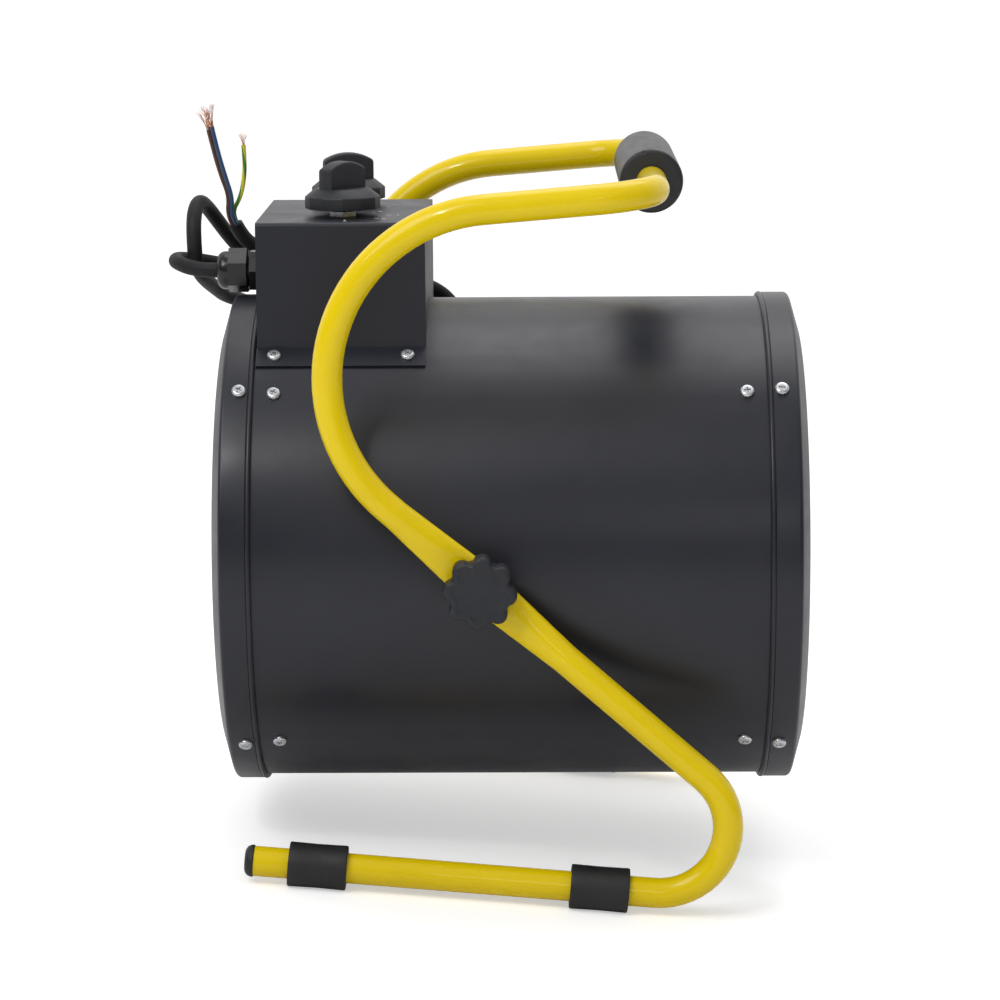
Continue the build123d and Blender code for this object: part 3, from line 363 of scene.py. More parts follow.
black = (0.0062, 0.0072, 0.0150)
finishes = {
    "drum_paint": coatedSteel("drumPaint", black, (0.0082, 0.0094, 0.0185), (0.34, 0.46), 420, 0.00005,
                              Coat_Weight=0.14, Coat_Roughness=0.22),
    "box_paint": coatedSteel("boxPaint", (0.0068, 0.0080, 0.0160), (0.0092, 0.0106, 0.0200),
                             (0.38, 0.5), 700, 0.00006),
    "stand_paint": coatedSteel("standPaint", (0.88, 0.640, 0.0015), (0.94, 0.695, 0.0022),
                               (0.22, 0.30), 330, 0.00003,
                               Specular_IOR_Level=0.15, Coat_Weight=0.42, Coat_Roughness=0.035),
    "motor_paint": coatedSteel("motorPaint", (0.020, 0.020, 0.022), (0.03, 0.03, 0.033),
                               (0.4, 0.55), 600, 0.0001),
    "guard_wire": coatedSteel("guardWire", (0.014, 0.014, 0.016), (0.022, 0.022, 0.025),
                              (0.28, 0.42), 700, 0.00005),
    "zinc": barePlate("zincPlate", (0.52, 0.54, 0.57), (0.78, 0.79, 0.81), (0.2, 0.38), 300, 0.00004),
    "galvanised": spangled("galvanised"),
    "element_steel": heatedSteel("elementSteel"),
    "fan_aluminium": barePlate("fanAluminium", (0.60, 0.61, 0.63), (0.80, 0.81, 0.83),
                               (0.26, 0.42), 120, 0.00005),
    "knob_plastic": moulded("knobPlastic", (0.0125, 0.0135, 0.0190), (0.0175, 0.0188, 0.0250),
                            (0.44, 0.58), 1600, 0.00006),
    "gland_plastic": moulded("glandPlastic", (0.0085, 0.0088, 0.0105), (0.0120, 0.0124, 0.0145),
                             (0.16, 0.28), 900, 0.00003),
    "switch_plastic": moulded("switchPlastic", (0.09, 0.09, 0.095), (0.13, 0.13, 0.135),
                              (0.4, 0.55), 1200, 0.00005),
    "terminal_plastic": moulded("terminalPlastic", (0.70, 0.69, 0.64), (0.78, 0.77, 0.73),
                                (0.35, 0.5), 900, 0.00004),
    "sleeve_rubber": moulded("sleeveRubber", (0.0125, 0.0125, 0.0135), (0.021, 0.021, 0.0225),
                             (0.42, 0.6), 700, 0.0001),
    "grip_foam": foamSkin("gripFoam"),
    "cable_rubber": moulded("cableRubber", (0.0105, 0.0108, 0.0125), (0.0165, 0.0168, 0.0190),
                            (0.5, 0.66), 1300, 0.00006, Specular_IOR_Level=0.3),
    "core_brown": moulded("coreBrown", (0.085, 0.032, 0.014), (0.11, 0.043, 0.02), (0.3, 0.42), 900, 0.00003),
    "core_blue": moulded("coreBlue", (0.022, 0.060, 0.150), (0.030, 0.082, 0.195), (0.3, 0.42), 900, 0.00003),
    "core_green_yellow": stripedCore("coreGreenYellow"),
    "copper": barePlate("copperStrand", (0.55, 0.24, 0.13), (0.83, 0.44, 0.28), (0.22, 0.4), 700, 0.00003),
    "panel_marks": moulded("panelMarks", (0.74, 0.74, 0.73), (0.82, 0.82, 0.81), (0.45, 0.6), 900, 0.00002),
}
slotOf = {row["node"]: row["material_slot"] for row in frame["record"]["subparts"]}
for nodeName, node in frame["nodes"].items():
    for materialSlot in node.material_slots:
        materialSlot.material = finishes[slotOf[nodeName]]
print("finishes ready:", len(finishes))


# supply cable and its bared cores, measured from the mouth of the gland
cable = {
    "start": (-152.2, 15.0, 153.2), "width": 8.8, "length": 828,
    "turns": [
        (0, 0, 0), (-9, 0, 0), (-17.7, 3.7, 1.2), (-23.9, 9.4, 2.8), (-27.3, 17, 3.6),
        (-27.3, 26.2, 3.6), (-24.1, 34.4, 2.8), (-17.9, 40.5, 1.5), (-9.3, 44.4, -0.4), (2.2, 49, -3),
        (14.7, 57.6, -5.6), (29.7, 65.3, -8.2), (48.7, 66.5, -10), (69.7, 67.5, -10.6),
        (90.7, 67.5, -12), (109.7, 70, -14.8), (125.2, 75.2, -21.7), (134.2, 83.8, -33.2),
        (135.2, 94.4, -46.7), (126.7, 102.3, -57.7), (108.7, 106.5, -63.2), (86.7, 107.5, -63.7),
        (62.7, 106.5, -59.2), (40.7, 103, -49.7), (21.7, 97, -37.7), (6.2, 90, -28.7),
        (-4.3, 79.5, -24.2), (-8.6, 65, -18), (-12.3, 49, -12), (-14.2, 33.5, -6.3),
        (-16.3, 24, 0.8), (-16.8, 22.8, 13.3), (-17.3, 26.5, 24.8), (-16.9, 34.5, 32.8),
        (-15.1, 45.5, 36), (-11.9, 56.5, 31.4), (-6.5, 64.5, 22), (0.2, 70.5, 11.6), (8.9, 73.5, 1.3),
        (19.7, 76, -10.7), (32.7, 79, -23.2), (48.7, 82.5, -33.7), (67.7, 84.8, -38.2),
        (86.7, 85, -34.2), (100.7, 83.5, -20.7), (105.7, 81, -2.7), (98.2, 78, 14.3),
        (81.7, 74.5, 23.3), (61.7, 71, 20.8), (42.7, 68, 12.3), (26.7, 65, 6), (15.2, 61.5, 7),
        (8.1, 58, 13.8), (4.6, 55.5, 21.2),
    ],
    "coreWidth": 2.6, "stripeTwist": 260,
    "cores": {
        "brown": (59.0, [(3.0, 55.79, 20.54), (0.14, 53.75, 26.6), (1.1, 56.6, 37.8), (-3.5, 56.6, 49.8),
                         (-7.2, 55.6, 63.8), (-10.2, 55.2, 76.8)]),
        "blue": (59.9, [(5.35, 53.93, 21.02), (2.48, 51.88, 27.07), (3.3, 53.4, 36.8), (-0.7, 53.2, 49.8),
                        (-4.9, 53.8, 64.3), (-8.0, 53.6, 78.8)]),
        "earth": (47.8, [(5.45, 56.78, 22.03), (2.59, 54.74, 28.09), (7.9, 56, 36.8), (10.1, 56, 47.3),
                         (10.9, 56, 57.8), (10.2, 56, 67.8)]),
    },
    "strandRadius": 0.13, "strandTurn": 2.4, "strandSpread": 0.8, "strandSink": 0.6,
    "strands": {
        "brown": {"reach": 12.0, "count": 19, "flare": 2.7},
        "blue": {"reach": 13.6, "count": 19, "flare": 2.7},
        "earth": {"reach": 7.5, "count": 9, "flare": 1.3},
    },
}


def alongDrum(turn):
    return drumFrame @ ((Vector(cable["start"]) + Vector(turn)) * mm)


def routeCurve(name, places, width, sides=8):
    curve = bpy.data.curves.new(name, "CURVE")
    curve.dimensions = "3D"
    line = curve.splines.new("NURBS")
    line.points.add(len(places) - 1)
    for point, place in zip(line.points, places):
        point.co = (*place, 1)
    line.order_u = 3
    line.use_endpoint_u = True
    line.resolution_u = 10
    curve.bevel_depth = width / 2
    curve.bevel_resolution = sides
    curve.use_fill_caps = True
    piece = bpy.data.objects.new(name, curve)
    scene.collection.objects.link(piece)
    return piece


cablePlaces = [alongDrum(turn) for turn in cable["turns"]]
supplyCable = routeCurve("supplyCable", cablePlaces, cable["width"] * mm)
settle(supplyCable, drumFrame, "drum", "cable_rubber", "supply_cable")

coreCurves = {}
for colour, (coreLength, turns) in cable["cores"].items():
    corePlaces = [alongDrum(turn) for turn in turns]
    slotName = "core_green_yellow" if colour == "earth" else "core_" + colour
    core = routeCurve("core" + colour.capitalize(), corePlaces, cable["coreWidth"] * mm, 6)
    coreCurves[colour] = (core, corePlaces, coreLength, slotName)
print("cable laid")


def readPath(piece):
    # the line itself, as points, from the curve with its thickness off
    piece.data.bevel_depth = 0
    piece.data.use_fill_caps = False
    line = bpy.data.meshes.new_from_object(piece)
    places = [vertex.co.copy() for vertex in line.vertices]
    bpy.data.meshes.remove(line)
    return places


def tubeAlong(name, path, radius, sides, twist=0.0):
    # closed tube on the path; its stripe attribute winds round it
    mesh = bpy.data.meshes.new(name)
    build = bmesh.new()
    stripe = build.verts.layers.float.new("stripe")
    forward = (path[1] - path[0]).normalized()
    across = forward.orthogonal().normalized()
    rings, walked = [], 0.0
    for index, place in enumerate(path):
        ahead = path[min(index + 1, len(path) - 1)] - path[max(index - 1, 0)]
        across = (across - ahead.normalized() * across.dot(ahead.normalized())).normalized()
        side = ahead.normalized().cross(across)
        if index:
            walked += (place - path[index - 1]).length
        ring = []
        for step in range(sides):
            angle = 2 * math.pi * step / sides
            vertex = build.verts.new(place + (across * math.cos(angle) + side * math.sin(angle)) * radius)
            vertex[stripe] = 0.5 + 0.5 * math.sin(2 * angle + twist * walked)
            ring.append(vertex)
        rings.append(ring)
    for first, second in zip(rings, rings[1:]):
        for step in range(sides):
            after = (step + 1) % sides
            build.faces.new((first[step], first[after], second[after], second[step]))
    build.faces.new(rings[0][::-1])
    build.faces.new(rings[-1])
    bmesh.ops.recalc_face_normals(build, faces=build.faces)
    build.to_mesh(mesh)
    build.free()
    piece = bpy.data.objects.new(name, mesh)
    scene.collection.objects.link(piece)
    smooth(piece, 40)
    return piece


chance = random.Random(11)
strandSets = {}
for colour, (core, corePlaces, coreLength, slotName) in coreCurves.items():
    wire = cable["strands"][colour]
    tip = corePlaces[-1]
    tipDir = (tip - corePlaces[-2]).normalized()
    sideDir = tipDir.orthogonal().normalized()
    otherDir = tipDir.cross(sideDir)
    strandSets[colour] = []
    for index in range(wire["count"]):
        start = cable["strandSpread"] * mm * math.sqrt((index + 0.5) / 13)
        flare = chance.uniform(0.5, 1.7) * wire["flare"] * mm
        curl = chance.uniform(-1.2, 1.2)
        shorter = 1 - 0.08 * (index % 3)
        strandPath = []
        for step in range(7):
            share = step / 6
            swing = index * cable["strandTurn"] + curl * share
            spread = start + flare * share ** 1.8
            along = wire["reach"] * mm * chance.uniform(0.985, 1.0) * share * shorter
            strandPath.append(tip + tipDir * (along - cable["strandSink"] * mm)
                              + (sideDir * math.cos(swing) + otherDir * math.sin(swing)) * spread)
        strandSets[colour].append(tubeAlong("strand", strandPath, cable["strandRadius"] * mm, 6))
strandsPower = joined("strandsPower", *strandSets["brown"], *strandSets["blue"])
settle(strandsPower, Matrix(), "drum", "copper", "strands_power")
strandsEarth = joined("strandsEarth", *strandSets["earth"])
settle(strandsEarth, Matrix(), "drum", "copper", "strands_earth")
for colour, (core, corePlaces, coreLength, slotName) in coreCurves.items():
    path = None
    if colour == "earth":
        path = readPath(core)
        bpy.data.objects.remove(core)
        core = tubeAlong("coreEarth", path, cable["coreWidth"] * mm / 2, 20, cable["stripeTwist"])
    settle(core, Matrix(), "drum", slotName, "core_" + colour)
print("cores bared")


# hand grip: foam tube with its slit along the top
grip = {"radius": 17.5, "bore": 8.35, "length": 142.0, "edge": 2.2,
        "slitAt": 20.0, "slitWidth": 1.15, "slitDeep": 3.2}


def makeGrip():
    tube = roundTube("handleGrip", grip, "Y", 72, 18)
    slitDir = Matrix.Rotation(math.radians(-grip["slitAt"]), 3, "Y") @ Vector((0, 0, 1))
    skin = (grip["radius"] - grip["edge"] * 0.9) * mm

    def nearSlit(vertex, degrees):
        out = Vector((vertex.co.x, 0, vertex.co.z))
        return out.length > skin and out.normalized().dot(slitDir) > math.cos(math.radians(degrees))

    openMesh(tube)
    # the nearest row of lengthwise edges is widened, then its middle sinks to the slit's floor
    pick("EDGE", lambda e: all(nearSlit(v, 2.4) for v in e.verts)
         and abs(e.verts[0].co.y - e.verts[1].co.y) > 0.1 * mm)
    bpy.ops.mesh.bevel(offset=grip["slitWidth"] * mm, segments=2, profile=0.5, affect="EDGES")
    pick("VERT", lambda v: nearSlit(v, 0.6))
    bpy.ops.transform.translate(value=-slitDir * grip["slitDeep"] * mm)
    closeMesh()
    smooth(tube, 38)
    return tube


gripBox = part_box("handle_grip")
gripMiddle = (gripBox[0] + gripBox[1]) / 2
settle(makeGrip(), Matrix.Translation(gripMiddle), "stand", "grip_foam", "handle_grip")
print("grip on")


# foot sleeves and end plugs
sleeve = {"radius": 12.2, "bore": 8.35, "length": 32.0, "edge": 0.9, "flat": 0.4, "waist": 0.25}


def makeSleeve(name):
    tube = roundTube(name, sleeve, "X", 64, 8)
    for vertex in tube.data.vertices:
        out = Vector((0, vertex.co.y, vertex.co.z))
        if out.length > (sleeve["bore"] + 1) * mm:
            # pushed on by hand, it stays a little slimmer at the middle
            share = 1 - abs(vertex.co.x) / (sleeve["length"] * mm / 2)
            vertex.co -= out.normalized() * sleeve["waist"] * mm * share
    openMesh(tube)
    bpy.ops.mesh.select_all(action="SELECT")
    bpy.ops.mesh.bisect(plane_co=(0, 0, -(sleeve["radius"] - sleeve["flat"]) * mm), plane_no=(0, 0, -1),
                        clear_outer=True, use_fill=True)
    closeMesh()
    smooth(tube, 35)
    return tube


firstSleeve = makeSleeve("footSleeve")
plug = {"radius": 8.8, "dome": 5.0, "round": 4.2, "lip": 0.35, "stub": 6.6, "insert": 12.0}


def makePlug(name):
    deselectAll()
    bpy.ops.mesh.primitive_cylinder_add(vertices=56, radius=plug["radius"] * mm, depth=plug["dome"] * mm,
                                        rotation=(0, math.pi / 2, 0), location=(-plug["dome"] * mm / 2, 0, 0))
    cap = fresh(name)
    openMesh(cap)
    pick("EDGE", lambda e: all(v.co.x < -(plug["dome"] - 0.01) * mm for v in e.verts))
    bpy.ops.mesh.bevel(offset=plug["round"] * mm, segments=8, profile=0.5, affect="EDGES", clamp_overlap=True)
    pick("EDGE", lambda e: all(v.co.x > -0.01 * mm for v in e.verts))
    bpy.ops.mesh.bevel(offset=plug["lip"] * mm, segments=2, profile=0.5, affect="EDGES")
    pick("FACE", lambda f: f.normal.x > 0.999)
    bpy.ops.mesh.inset(thickness=(plug["radius"] - plug["lip"] - plug["stub"]) * mm, depth=0)
    bpy.ops.mesh.extrude_region_move(TRANSFORM_OT_translate={"value": (plug["insert"] * mm, 0, 0)})
    closeMesh()
    smooth(cap, 35)
    return cap


firstPlug = makePlug("endPlug")
for side in ("near", "far"):
    for end in ("back", "front"):
        low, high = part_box(f"foot_sleeve_{side}_{end}")
        axle = (sleeve["radius"] - sleeve["flat"]) * mm
        middle = Vector(((low.x + high.x) / 2, (low.y + high.y) / 2, axle))
        footSleeve = copied(firstSleeve, f"footSleeve{side.capitalize()}{end.capitalize()}")
        settle(footSleeve, Matrix.Translation(middle), "stand", "sleeve_rubber", f"foot_sleeve_{side}_{end}")
    low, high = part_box(f"end_plug_{side}")
    mouth = Vector((low.x + plug["dome"] * mm, (low.y + high.y) / 2, (low.z + high.z) / 2))
    endPlug = copied(firstPlug, f"endPlug{side.capitalize()}")
    settle(endPlug, Matrix.Translation(mouth), "stand", "sleeve_rubber", f"end_plug_{side}")
for first in (firstSleeve, firstPlug):
    bpy.data.objects.remove(first)
print("feet on")


# star knobs at the pivot
star = {
    "radius": 20.0, "lobes": 8, "lobe": 5.2, "waist": 3.2, "start": 157.5, "thick": 13.0, "edge": 2.6,
    "boss": 10.5, "bossLength": 3.4,
    "back": [(0.9, 0.62), (0.0, 0.70), (0.0, 0.955), (0.25, 0.985), (0.8, 1.0)],  # height, share of the radius
    "dish": [(0.02, 15.4), (0.35, 14.7), (0.45, 13.9), (0.52, 8.0), (0.55, pole)],  # depth in the face, radius
}


def starReach(angle):
    # the union of a round body and a ring of round lobes, seen from the middle
    step = 2 * math.pi / star["lobes"]
    off = (angle + step / 2) % step - step / 2
    middle = star["radius"] - star["lobe"]
    under = star["lobe"] ** 2 - (middle * math.sin(off)) ** 2
    lobeReach = middle * math.cos(off) + math.sqrt(under) if under > 0 else 0
    return max(star["radius"] - star["waist"], lobeReach)


def makeStar(name):
    # rim rounded by shrinking the whole plan towards the middle, so no lobe folds over
    wide, rim, foot = star["radius"], star["thick"] - star["edge"], -star["bossLength"]
    profile = [(0.9, pole)] + [(height, wide * share) for height, share in star["back"]]
    profile += [(rim * 0.5, wide), (rim, wide)]
    for step in range(1, 8):
        angle = math.radians(90 * step / 7)
        profile.append((rim + star["edge"] * math.sin(angle), wide - star["edge"] * (1 - math.cos(angle))))
    profile += [(star["thick"] - depth, radius) for depth, radius in star["dish"]]
    head = turned(name, profile, 192, lambda angle: starReach(angle) / wide)
    boss = turned("boss", [(2.0, pole), (2.0, star["boss"]), (foot + 0.5, star["boss"]),
                           (foot + 0.15, star["boss"] - 0.15), (foot, star["boss"] - 0.5), (foot, pole)], 48)
    head = joined(name, head, boss)
    smooth(head, 40)
    return head


firstStar = makeStar("starKnob")
for side, turn in (("near", math.pi / 2), ("far", -math.pi / 2)):
    out = -1 if side == "near" else 1
    place = Matrix.Translation(pivot + Vector((0, out * star["start"] * mm, 0))) @ Matrix.Rotation(turn, 4, "X")
    settle(copied(firstStar, f"starKnob{side.capitalize()}"), place, f"star_{side}", "knob_plastic",
           f"star_knob_{side}")
bpy.data.objects.remove(firstStar)
print("star knobs on")


# rotary knobs
knob = {
    "x": -78.05, "near": -30.5, "far": 30.5, "base": 192.9, "radius": 21.25, "sides": 12, "turn": 2.0,
    "skirt": 6.8, "shoulder": 4.7, "top": 15.3, "edge": 0.5, "hollowWall": 2.0, "hollowDeep": 2.5,
    "gripLength": 14.7, "gripHalf": 4.8, "gripTall": 15.0, "gripSink": 1.0, "gripEdge": 1.4,
    "crown": 26.46, "crownStep": 1.95, "gripTurns": {"near": 50.0, "far": 10.0},
}
bush = {"bore": 5.5, "radius": 8.0, "tall": 3.0, "edge": 0.4, "seat": 188.75}


def makeKnob(name, gripTurn):
    deselectAll()
    bpy.ops.mesh.primitive_cylinder_add(vertices=knob["sides"], radius=knob["radius"] * mm,
                                        depth=knob["skirt"] * mm, rotation=(0, 0, math.radians(knob["turn"])),
                                        location=(0, 0, knob["skirt"] * mm / 2))
    skirt = fresh(name)
    openMesh(skirt)
    pick("FACE", lambda f: f.normal.z > 0.9)
    bpy.ops.mesh.extrude_region_move(TRANSFORM_OT_translate={"value": (0, 0, knob["shoulder"] * mm)})
    share = knob["top"] / knob["radius"]
    bpy.ops.transform.resize(value=(share, share, 1), center_override=(0, 0, 0))
    pick("FACE", lambda f: f.normal.z < -0.9)
    bpy.ops.mesh.inset(thickness=knob["hollowWall"] * mm, depth=-knob["hollowDeep"] * mm)
    pick("EDGE", lambda e: abs(e.calc_face_angle(0)) > math.radians(20))
    bpy.ops.mesh.bevel(offset=knob["edge"] * mm, segments=3, profile=0.5, affect="EDGES")
    closeMesh()
    # grip bar: a round post cut flat on both sides, its top a long arc
    foot = knob["skirt"] + knob["shoulder"] - knob["gripSink"]
    tall = knob["gripTall"] + knob["gripSink"]
    deselectAll()
    bpy.ops.mesh.primitive_cylinder_add(vertices=96, radius=knob["gripLength"] * mm, depth=tall * mm,
                                        location=(0, 0, (foot + tall / 2) * mm))
    bar = fresh("bar")
    openMesh(bar)
    for side in (1, -1):
        bpy.ops.mesh.select_all(action="SELECT")
        bpy.ops.mesh.bisect(plane_co=(0, side * knob["gripHalf"] * mm, 0), plane_no=(0, side, 0),
                            clear_outer=True, use_fill=True)
    for cut in range(-7, 8):
        bpy.ops.mesh.select_all(action="SELECT")
        bpy.ops.mesh.bisect(plane_co=(cut * knob["crownStep"] * mm, 0, 0), plane_no=(1, 0, 0))
    mesh = bmesh.from_edit_mesh(bar.data)
    arc, peak = knob["crown"] * mm, (foot + tall) * mm
    for vertex in mesh.verts:
        if vertex.co.z > peak - 0.01 * mm:
            vertex.co.z = peak - arc + math.sqrt(arc ** 2 - vertex.co.x ** 2)
    bmesh.update_edit_mesh(bar.data)
    mesh.normal_update()
    low = (knob["skirt"] + knob["shoulder"] - 0.4) * mm
    pick("EDGE", lambda e: abs(e.calc_face_angle(0)) > math.radians(30) and min(v.co.z for v in e.verts) > low)
    bpy.ops.mesh.bevel(offset=knob["gripEdge"] * mm, segments=4, profile=0.5, affect="EDGES")
    bpy.ops.mesh.select_all(action="SELECT")
    bpy.ops.transform.rotate(value=-math.radians(gripTurn), orient_axis="Z", center_override=(0, 0, 0))
    closeMesh()
    union = skirt.modifiers.new("bar", "BOOLEAN")
    union.operation = "UNION"
    union.object = bar
    applyAll(skirt)
    bpy.data.objects.remove(bar)
    smooth(skirt, 28)
    return skirt


for name, side, body, node in (("modeKnob", "near", "mode_selector", "mode_knob"),
                               ("thermostatKnob", "far", "thermostat_selector", "thermostat_knob")):
    place = drumFrame @ Matrix.Translation(Vector((knob["x"], knob[side], knob["base"])) * mm)
    settle(makeKnob(name, knob["gripTurns"][side]), place, body, "knob_plastic", node)
    # plated nut that holds the spindle's bush to the panel
    place = drumFrame @ Matrix.Translation(Vector((knob["x"], knob[side], bush["seat"])) * mm)
    nut = turned(name + "Bush", [(0, bush["bore"]), (0, bush["radius"]),
                                 (bush["tall"] - bush["edge"], bush["radius"]), (bush["tall"], bush["radius"] - 0.5),
                                 (bush["tall"], bush["bore"]), (0, bush["bore"])], 6)
    settle(nut, place, "drum", "zinc")
print("rotary knobs on")


# pressed end rings: rolled edge on the shell, tight corner, sloping face, rolled mouth
ring = {
    "inletEnd": -147.7, "outletEnd": 179.9, "radius": 140.0, "seat": 137.8, "sheet": 1.2, "cone": 5.5,
    "corner": 1.8, "band": 17.4, "lip": 2.4, "bead": 0.35, "beadWidth": 3.0,
    "mouth": 118.0, "roll": 3.6, "rollRadius": 2.2,
}


def eased(points, radii, steps=6):
    # the same line with its corners taken round arcs
    points = [Vector(point) for point in points]
    line = [points[0]]
    for before, here, after, radius in zip(points, points[1:], points[2:], radii):
        inward, onward = (before - here).normalized(), (after - here).normalized()
        half = inward.angle(onward) / 2
        reach = radius / math.tan(half)
        centre = here + (inward + onward).normalized() * radius / math.sin(half)
        first, last = here + inward * reach - centre, here + onward * reach - centre
        for step in range(steps + 1):
            line.append(centre + first.slerp(last, step / steps).normalized() * radius)
    line.append(points[-1])
    return line


def makeRing(name):
    # heights run from the outer end inwards, so the same ring serves both ends
    half, top, seat = ring["sheet"] / 2, ring["radius"], ring["seat"]
    back = ring["cone"] + ring["band"]
    line = eased([(back - ring["beadWidth"] - 0.2, top - half), (ring["cone"] + half, top - half),
                  (half, ring["mouth"] + 2), (half + ring["roll"], ring["mouth"])],
                 [ring["corner"], ring["rollRadius"]])
    outside, inside = [], []
    for index, point in enumerate(line):
        ahead = (line[min(index + 1, len(line) - 1)] - line[max(index - 1, 0)]).normalized()
        outward = Vector((ahead.y, -ahead.x)) * half
        outside.append(tuple(point + outward))
        inside.append(tuple(point - outward))
    # rolled edge, round on the outside, running down into the band
    bead = [(back - 0.1, seat)]
    for step in range(9):
        angle = math.radians(18 * step)
        bead.append((back - ring["beadWidth"] / 2 * (1 - math.cos(angle)),
                     top - ring["sheet"] + (ring["sheet"] + ring["bead"]) * math.sin(angle)))
    bead.append((back - ring["beadWidth"] - 0.1, top))
    lip = [(back - ring["lip"], top - ring["sheet"]), (back - ring["lip"], seat)]
    hoop = turned(name, bead + outside + inside[::-1] + lip + bead[:1], 224)
    smooth(hoop, 30)
    return hoop


for name, end, turn, node in (("inletRing", "inletEnd", math.pi / 2, "inlet_ring"),
                              ("outletRing", "outletEnd", -math.pi / 2, "outlet_ring")):
    place = drumFrame @ Matrix.Translation(Vector((ring[end], 0, 0)) * mm) @ Matrix.Rotation(turn, 4, "Y")
    settle(makeRing(name), place, "drum", "drum_paint", node)
print("end rings on")


# pan head screws, each set down at its own turn
screw = {
    "radius": 4.0, "tall": 2.4, "crown": 1.5, "recess": 4.2, "slot": 1.05, "deep": 1.4, "taper": 0.55,
    "shank": 2.0, "long": 7.0, "point": 0.35,
}
quarters = (45, 135, -45, -135)
screwRows = {
    "inlet_ring_screws": ([(-132.5, angle) for angle in quarters], 140.02),
    "outlet_ring_screws": ([(164.7, angle) for angle in quarters], 140.02),
    "motor_frame_screws": ([(-113.6, angle) for angle in quarters], 137.72),
    "shield_screws": ([(145.8, angle) for angle in quarters], 137.72),
    "box_screws": (((-114.4, 33.8), (-114.4, -33.8), (-40.7, 33.8), (-40.7, -33.8)), 139.02),
}


def makeScrew(name):
    deselectAll()
    bpy.ops.mesh.primitive_cylinder_add(vertices=40, radius=screw["radius"] * mm, depth=screw["tall"] * mm,
                                        location=(0, 0, screw["tall"] * mm / 2))
    head = fresh(name)
    openMesh(head)
    pick("EDGE", lambda e: all(v.co.z > (screw["tall"] - 0.01) * mm for v in e.verts))
    bpy.ops.mesh.bevel(offset=screw["crown"] * mm, segments=6, profile=0.5, affect="EDGES")
    pick("FACE", lambda f: f.normal.z < -0.9)
    bpy.ops.mesh.inset(thickness=(screw["radius"] - screw["shank"]) * mm, depth=0)
    bpy.ops.mesh.extrude_region_move(TRANSFORM_OT_translate={"value": (0, 0, -screw["long"] * mm)})
    bpy.ops.mesh.inset(thickness=screw["point"] * mm, depth=screw["point"] * mm)
    closeMesh()
    cutters = []
    for turn in (0, math.pi / 2):
        deselectAll()
        # it stands 0.6 above the head, so the cut is open at the top
        bpy.ops.mesh.primitive_cube_add(size=1, rotation=(0, 0, turn),
                                        location=(0, 0, (screw["tall"] + 0.3 - screw["deep"] / 2) * mm),
                                        scale=(screw["recess"] * mm, screw["slot"] * mm,
                                               (screw["deep"] + 0.6) * mm))
        cutter = fresh("cutter")
        openMesh(cutter)
        pick("FACE", lambda f: f.normal.z < -0.9)
        bpy.ops.transform.resize(value=(screw["taper"], screw["taper"], 1), center_override=(0, 0, 0))
        closeMesh()
        cutters.append(cutter)
    for cutter in cutters:
        recess = head.modifiers.new("recess", "BOOLEAN")
        recess.operation = "DIFFERENCE"
        recess.object = cutter
    applyAll(head)
    for cutter in cutters:
        bpy.data.objects.remove(cutter)
    smooth(head, 35)
    return head


def onDrum(x, angle, radius):
    # stands on the drum's skin, its own Z pointing away from the axis
    out = Vector((0, math.sin(math.radians(angle)), math.cos(math.radians(angle))))
    seat = Matrix((Vector((1, 0, 0)), out.cross(Vector((1, 0, 0))), out)).transposed().to_4x4()
    return Matrix.Translation(Vector((x, 0, 0)) * mm + out * radius * mm) @ seat


firstScrew = makeScrew("panScrew")
for name, (spots, radius) in screwRows.items():
    group = []
    for x, angle in spots:
        one = copied(firstScrew, "oneScrew")
        one.matrix_world = onDrum(x, angle, radius) @ Matrix.Rotation(chance.uniform(0, math.pi / 2), 4, "Z")
        only(one)
        bpy.ops.object.transform_apply(location=True, rotation=True, scale=True)
        group.append(one)
    first, *others = name.split("_")
    rowName = first + "".join(word.capitalize() for word in others)
    settle(joined(rowName, *group), drumFrame, "drum", "zinc", name)
bpy.data.objects.remove(firstScrew)
print("screws in")


# scales on the panel: ticks and plain numbers
scale = {
    "panel": 188.71, "thick": 0.05, "from": 24.2, "to": 27.4, "width": 0.7, "corner": 0.2,
    "numberAt": 31.0, "numberSize": 5.2, "modes": {"0": 50, "1": 5, "2": -40, "3": -85},
    "heats": 10, "heatFrom": 10, "heatStep": 30, "heatShort": 1.2, "endLong": 1.4,
    "heatWidth": 0.4, "widen": 0.09,
}


def tick(angle, near, far, width):
    deselectAll()
    bpy.ops.mesh.primitive_cube_add(size=1, scale=((far - near) * mm, width * mm, scale["thick"] * mm),
                                    location=((near + far) / 2 * mm, 0, scale["thick"] * mm / 2))
    mark = fresh("mark")
    openMesh(mark)
    pick("EDGE", lambda e: abs(e.verts[0].co.z - e.verts[1].co.z) > 1e-6)
    bpy.ops.mesh.bevel(offset=scale["corner"] * mm, segments=2, affect="EDGES")
    closeMesh()
    mark.matrix_world = Matrix.Rotation(math.radians(angle), 4, "Z")
    only(mark)
    bpy.ops.object.transform_apply(location=True, rotation=True, scale=True)
    return mark


def number(words, angle):
    deselectAll()
    bpy.ops.object.text_add()
    text = bpy.context.active_object
    text.data.body = words
    text.data.size = scale["numberSize"] * mm
    text.data.align_x = "CENTER"
    text.data.align_y = "CENTER"
    text.data.extrude = scale["thick"] * mm / 2
    only(text)
    bpy.ops.object.convert(target="MESH")
    mark = bpy.context.active_object
    reach, turn = scale["numberAt"] * mm, math.radians(angle)
    mark.location = (reach * math.cos(turn), reach * math.sin(turn), scale["thick"] * mm / 2)
    only(mark)
    bpy.ops.object.transform_apply(location=True, rotation=True, scale=True)
    return mark


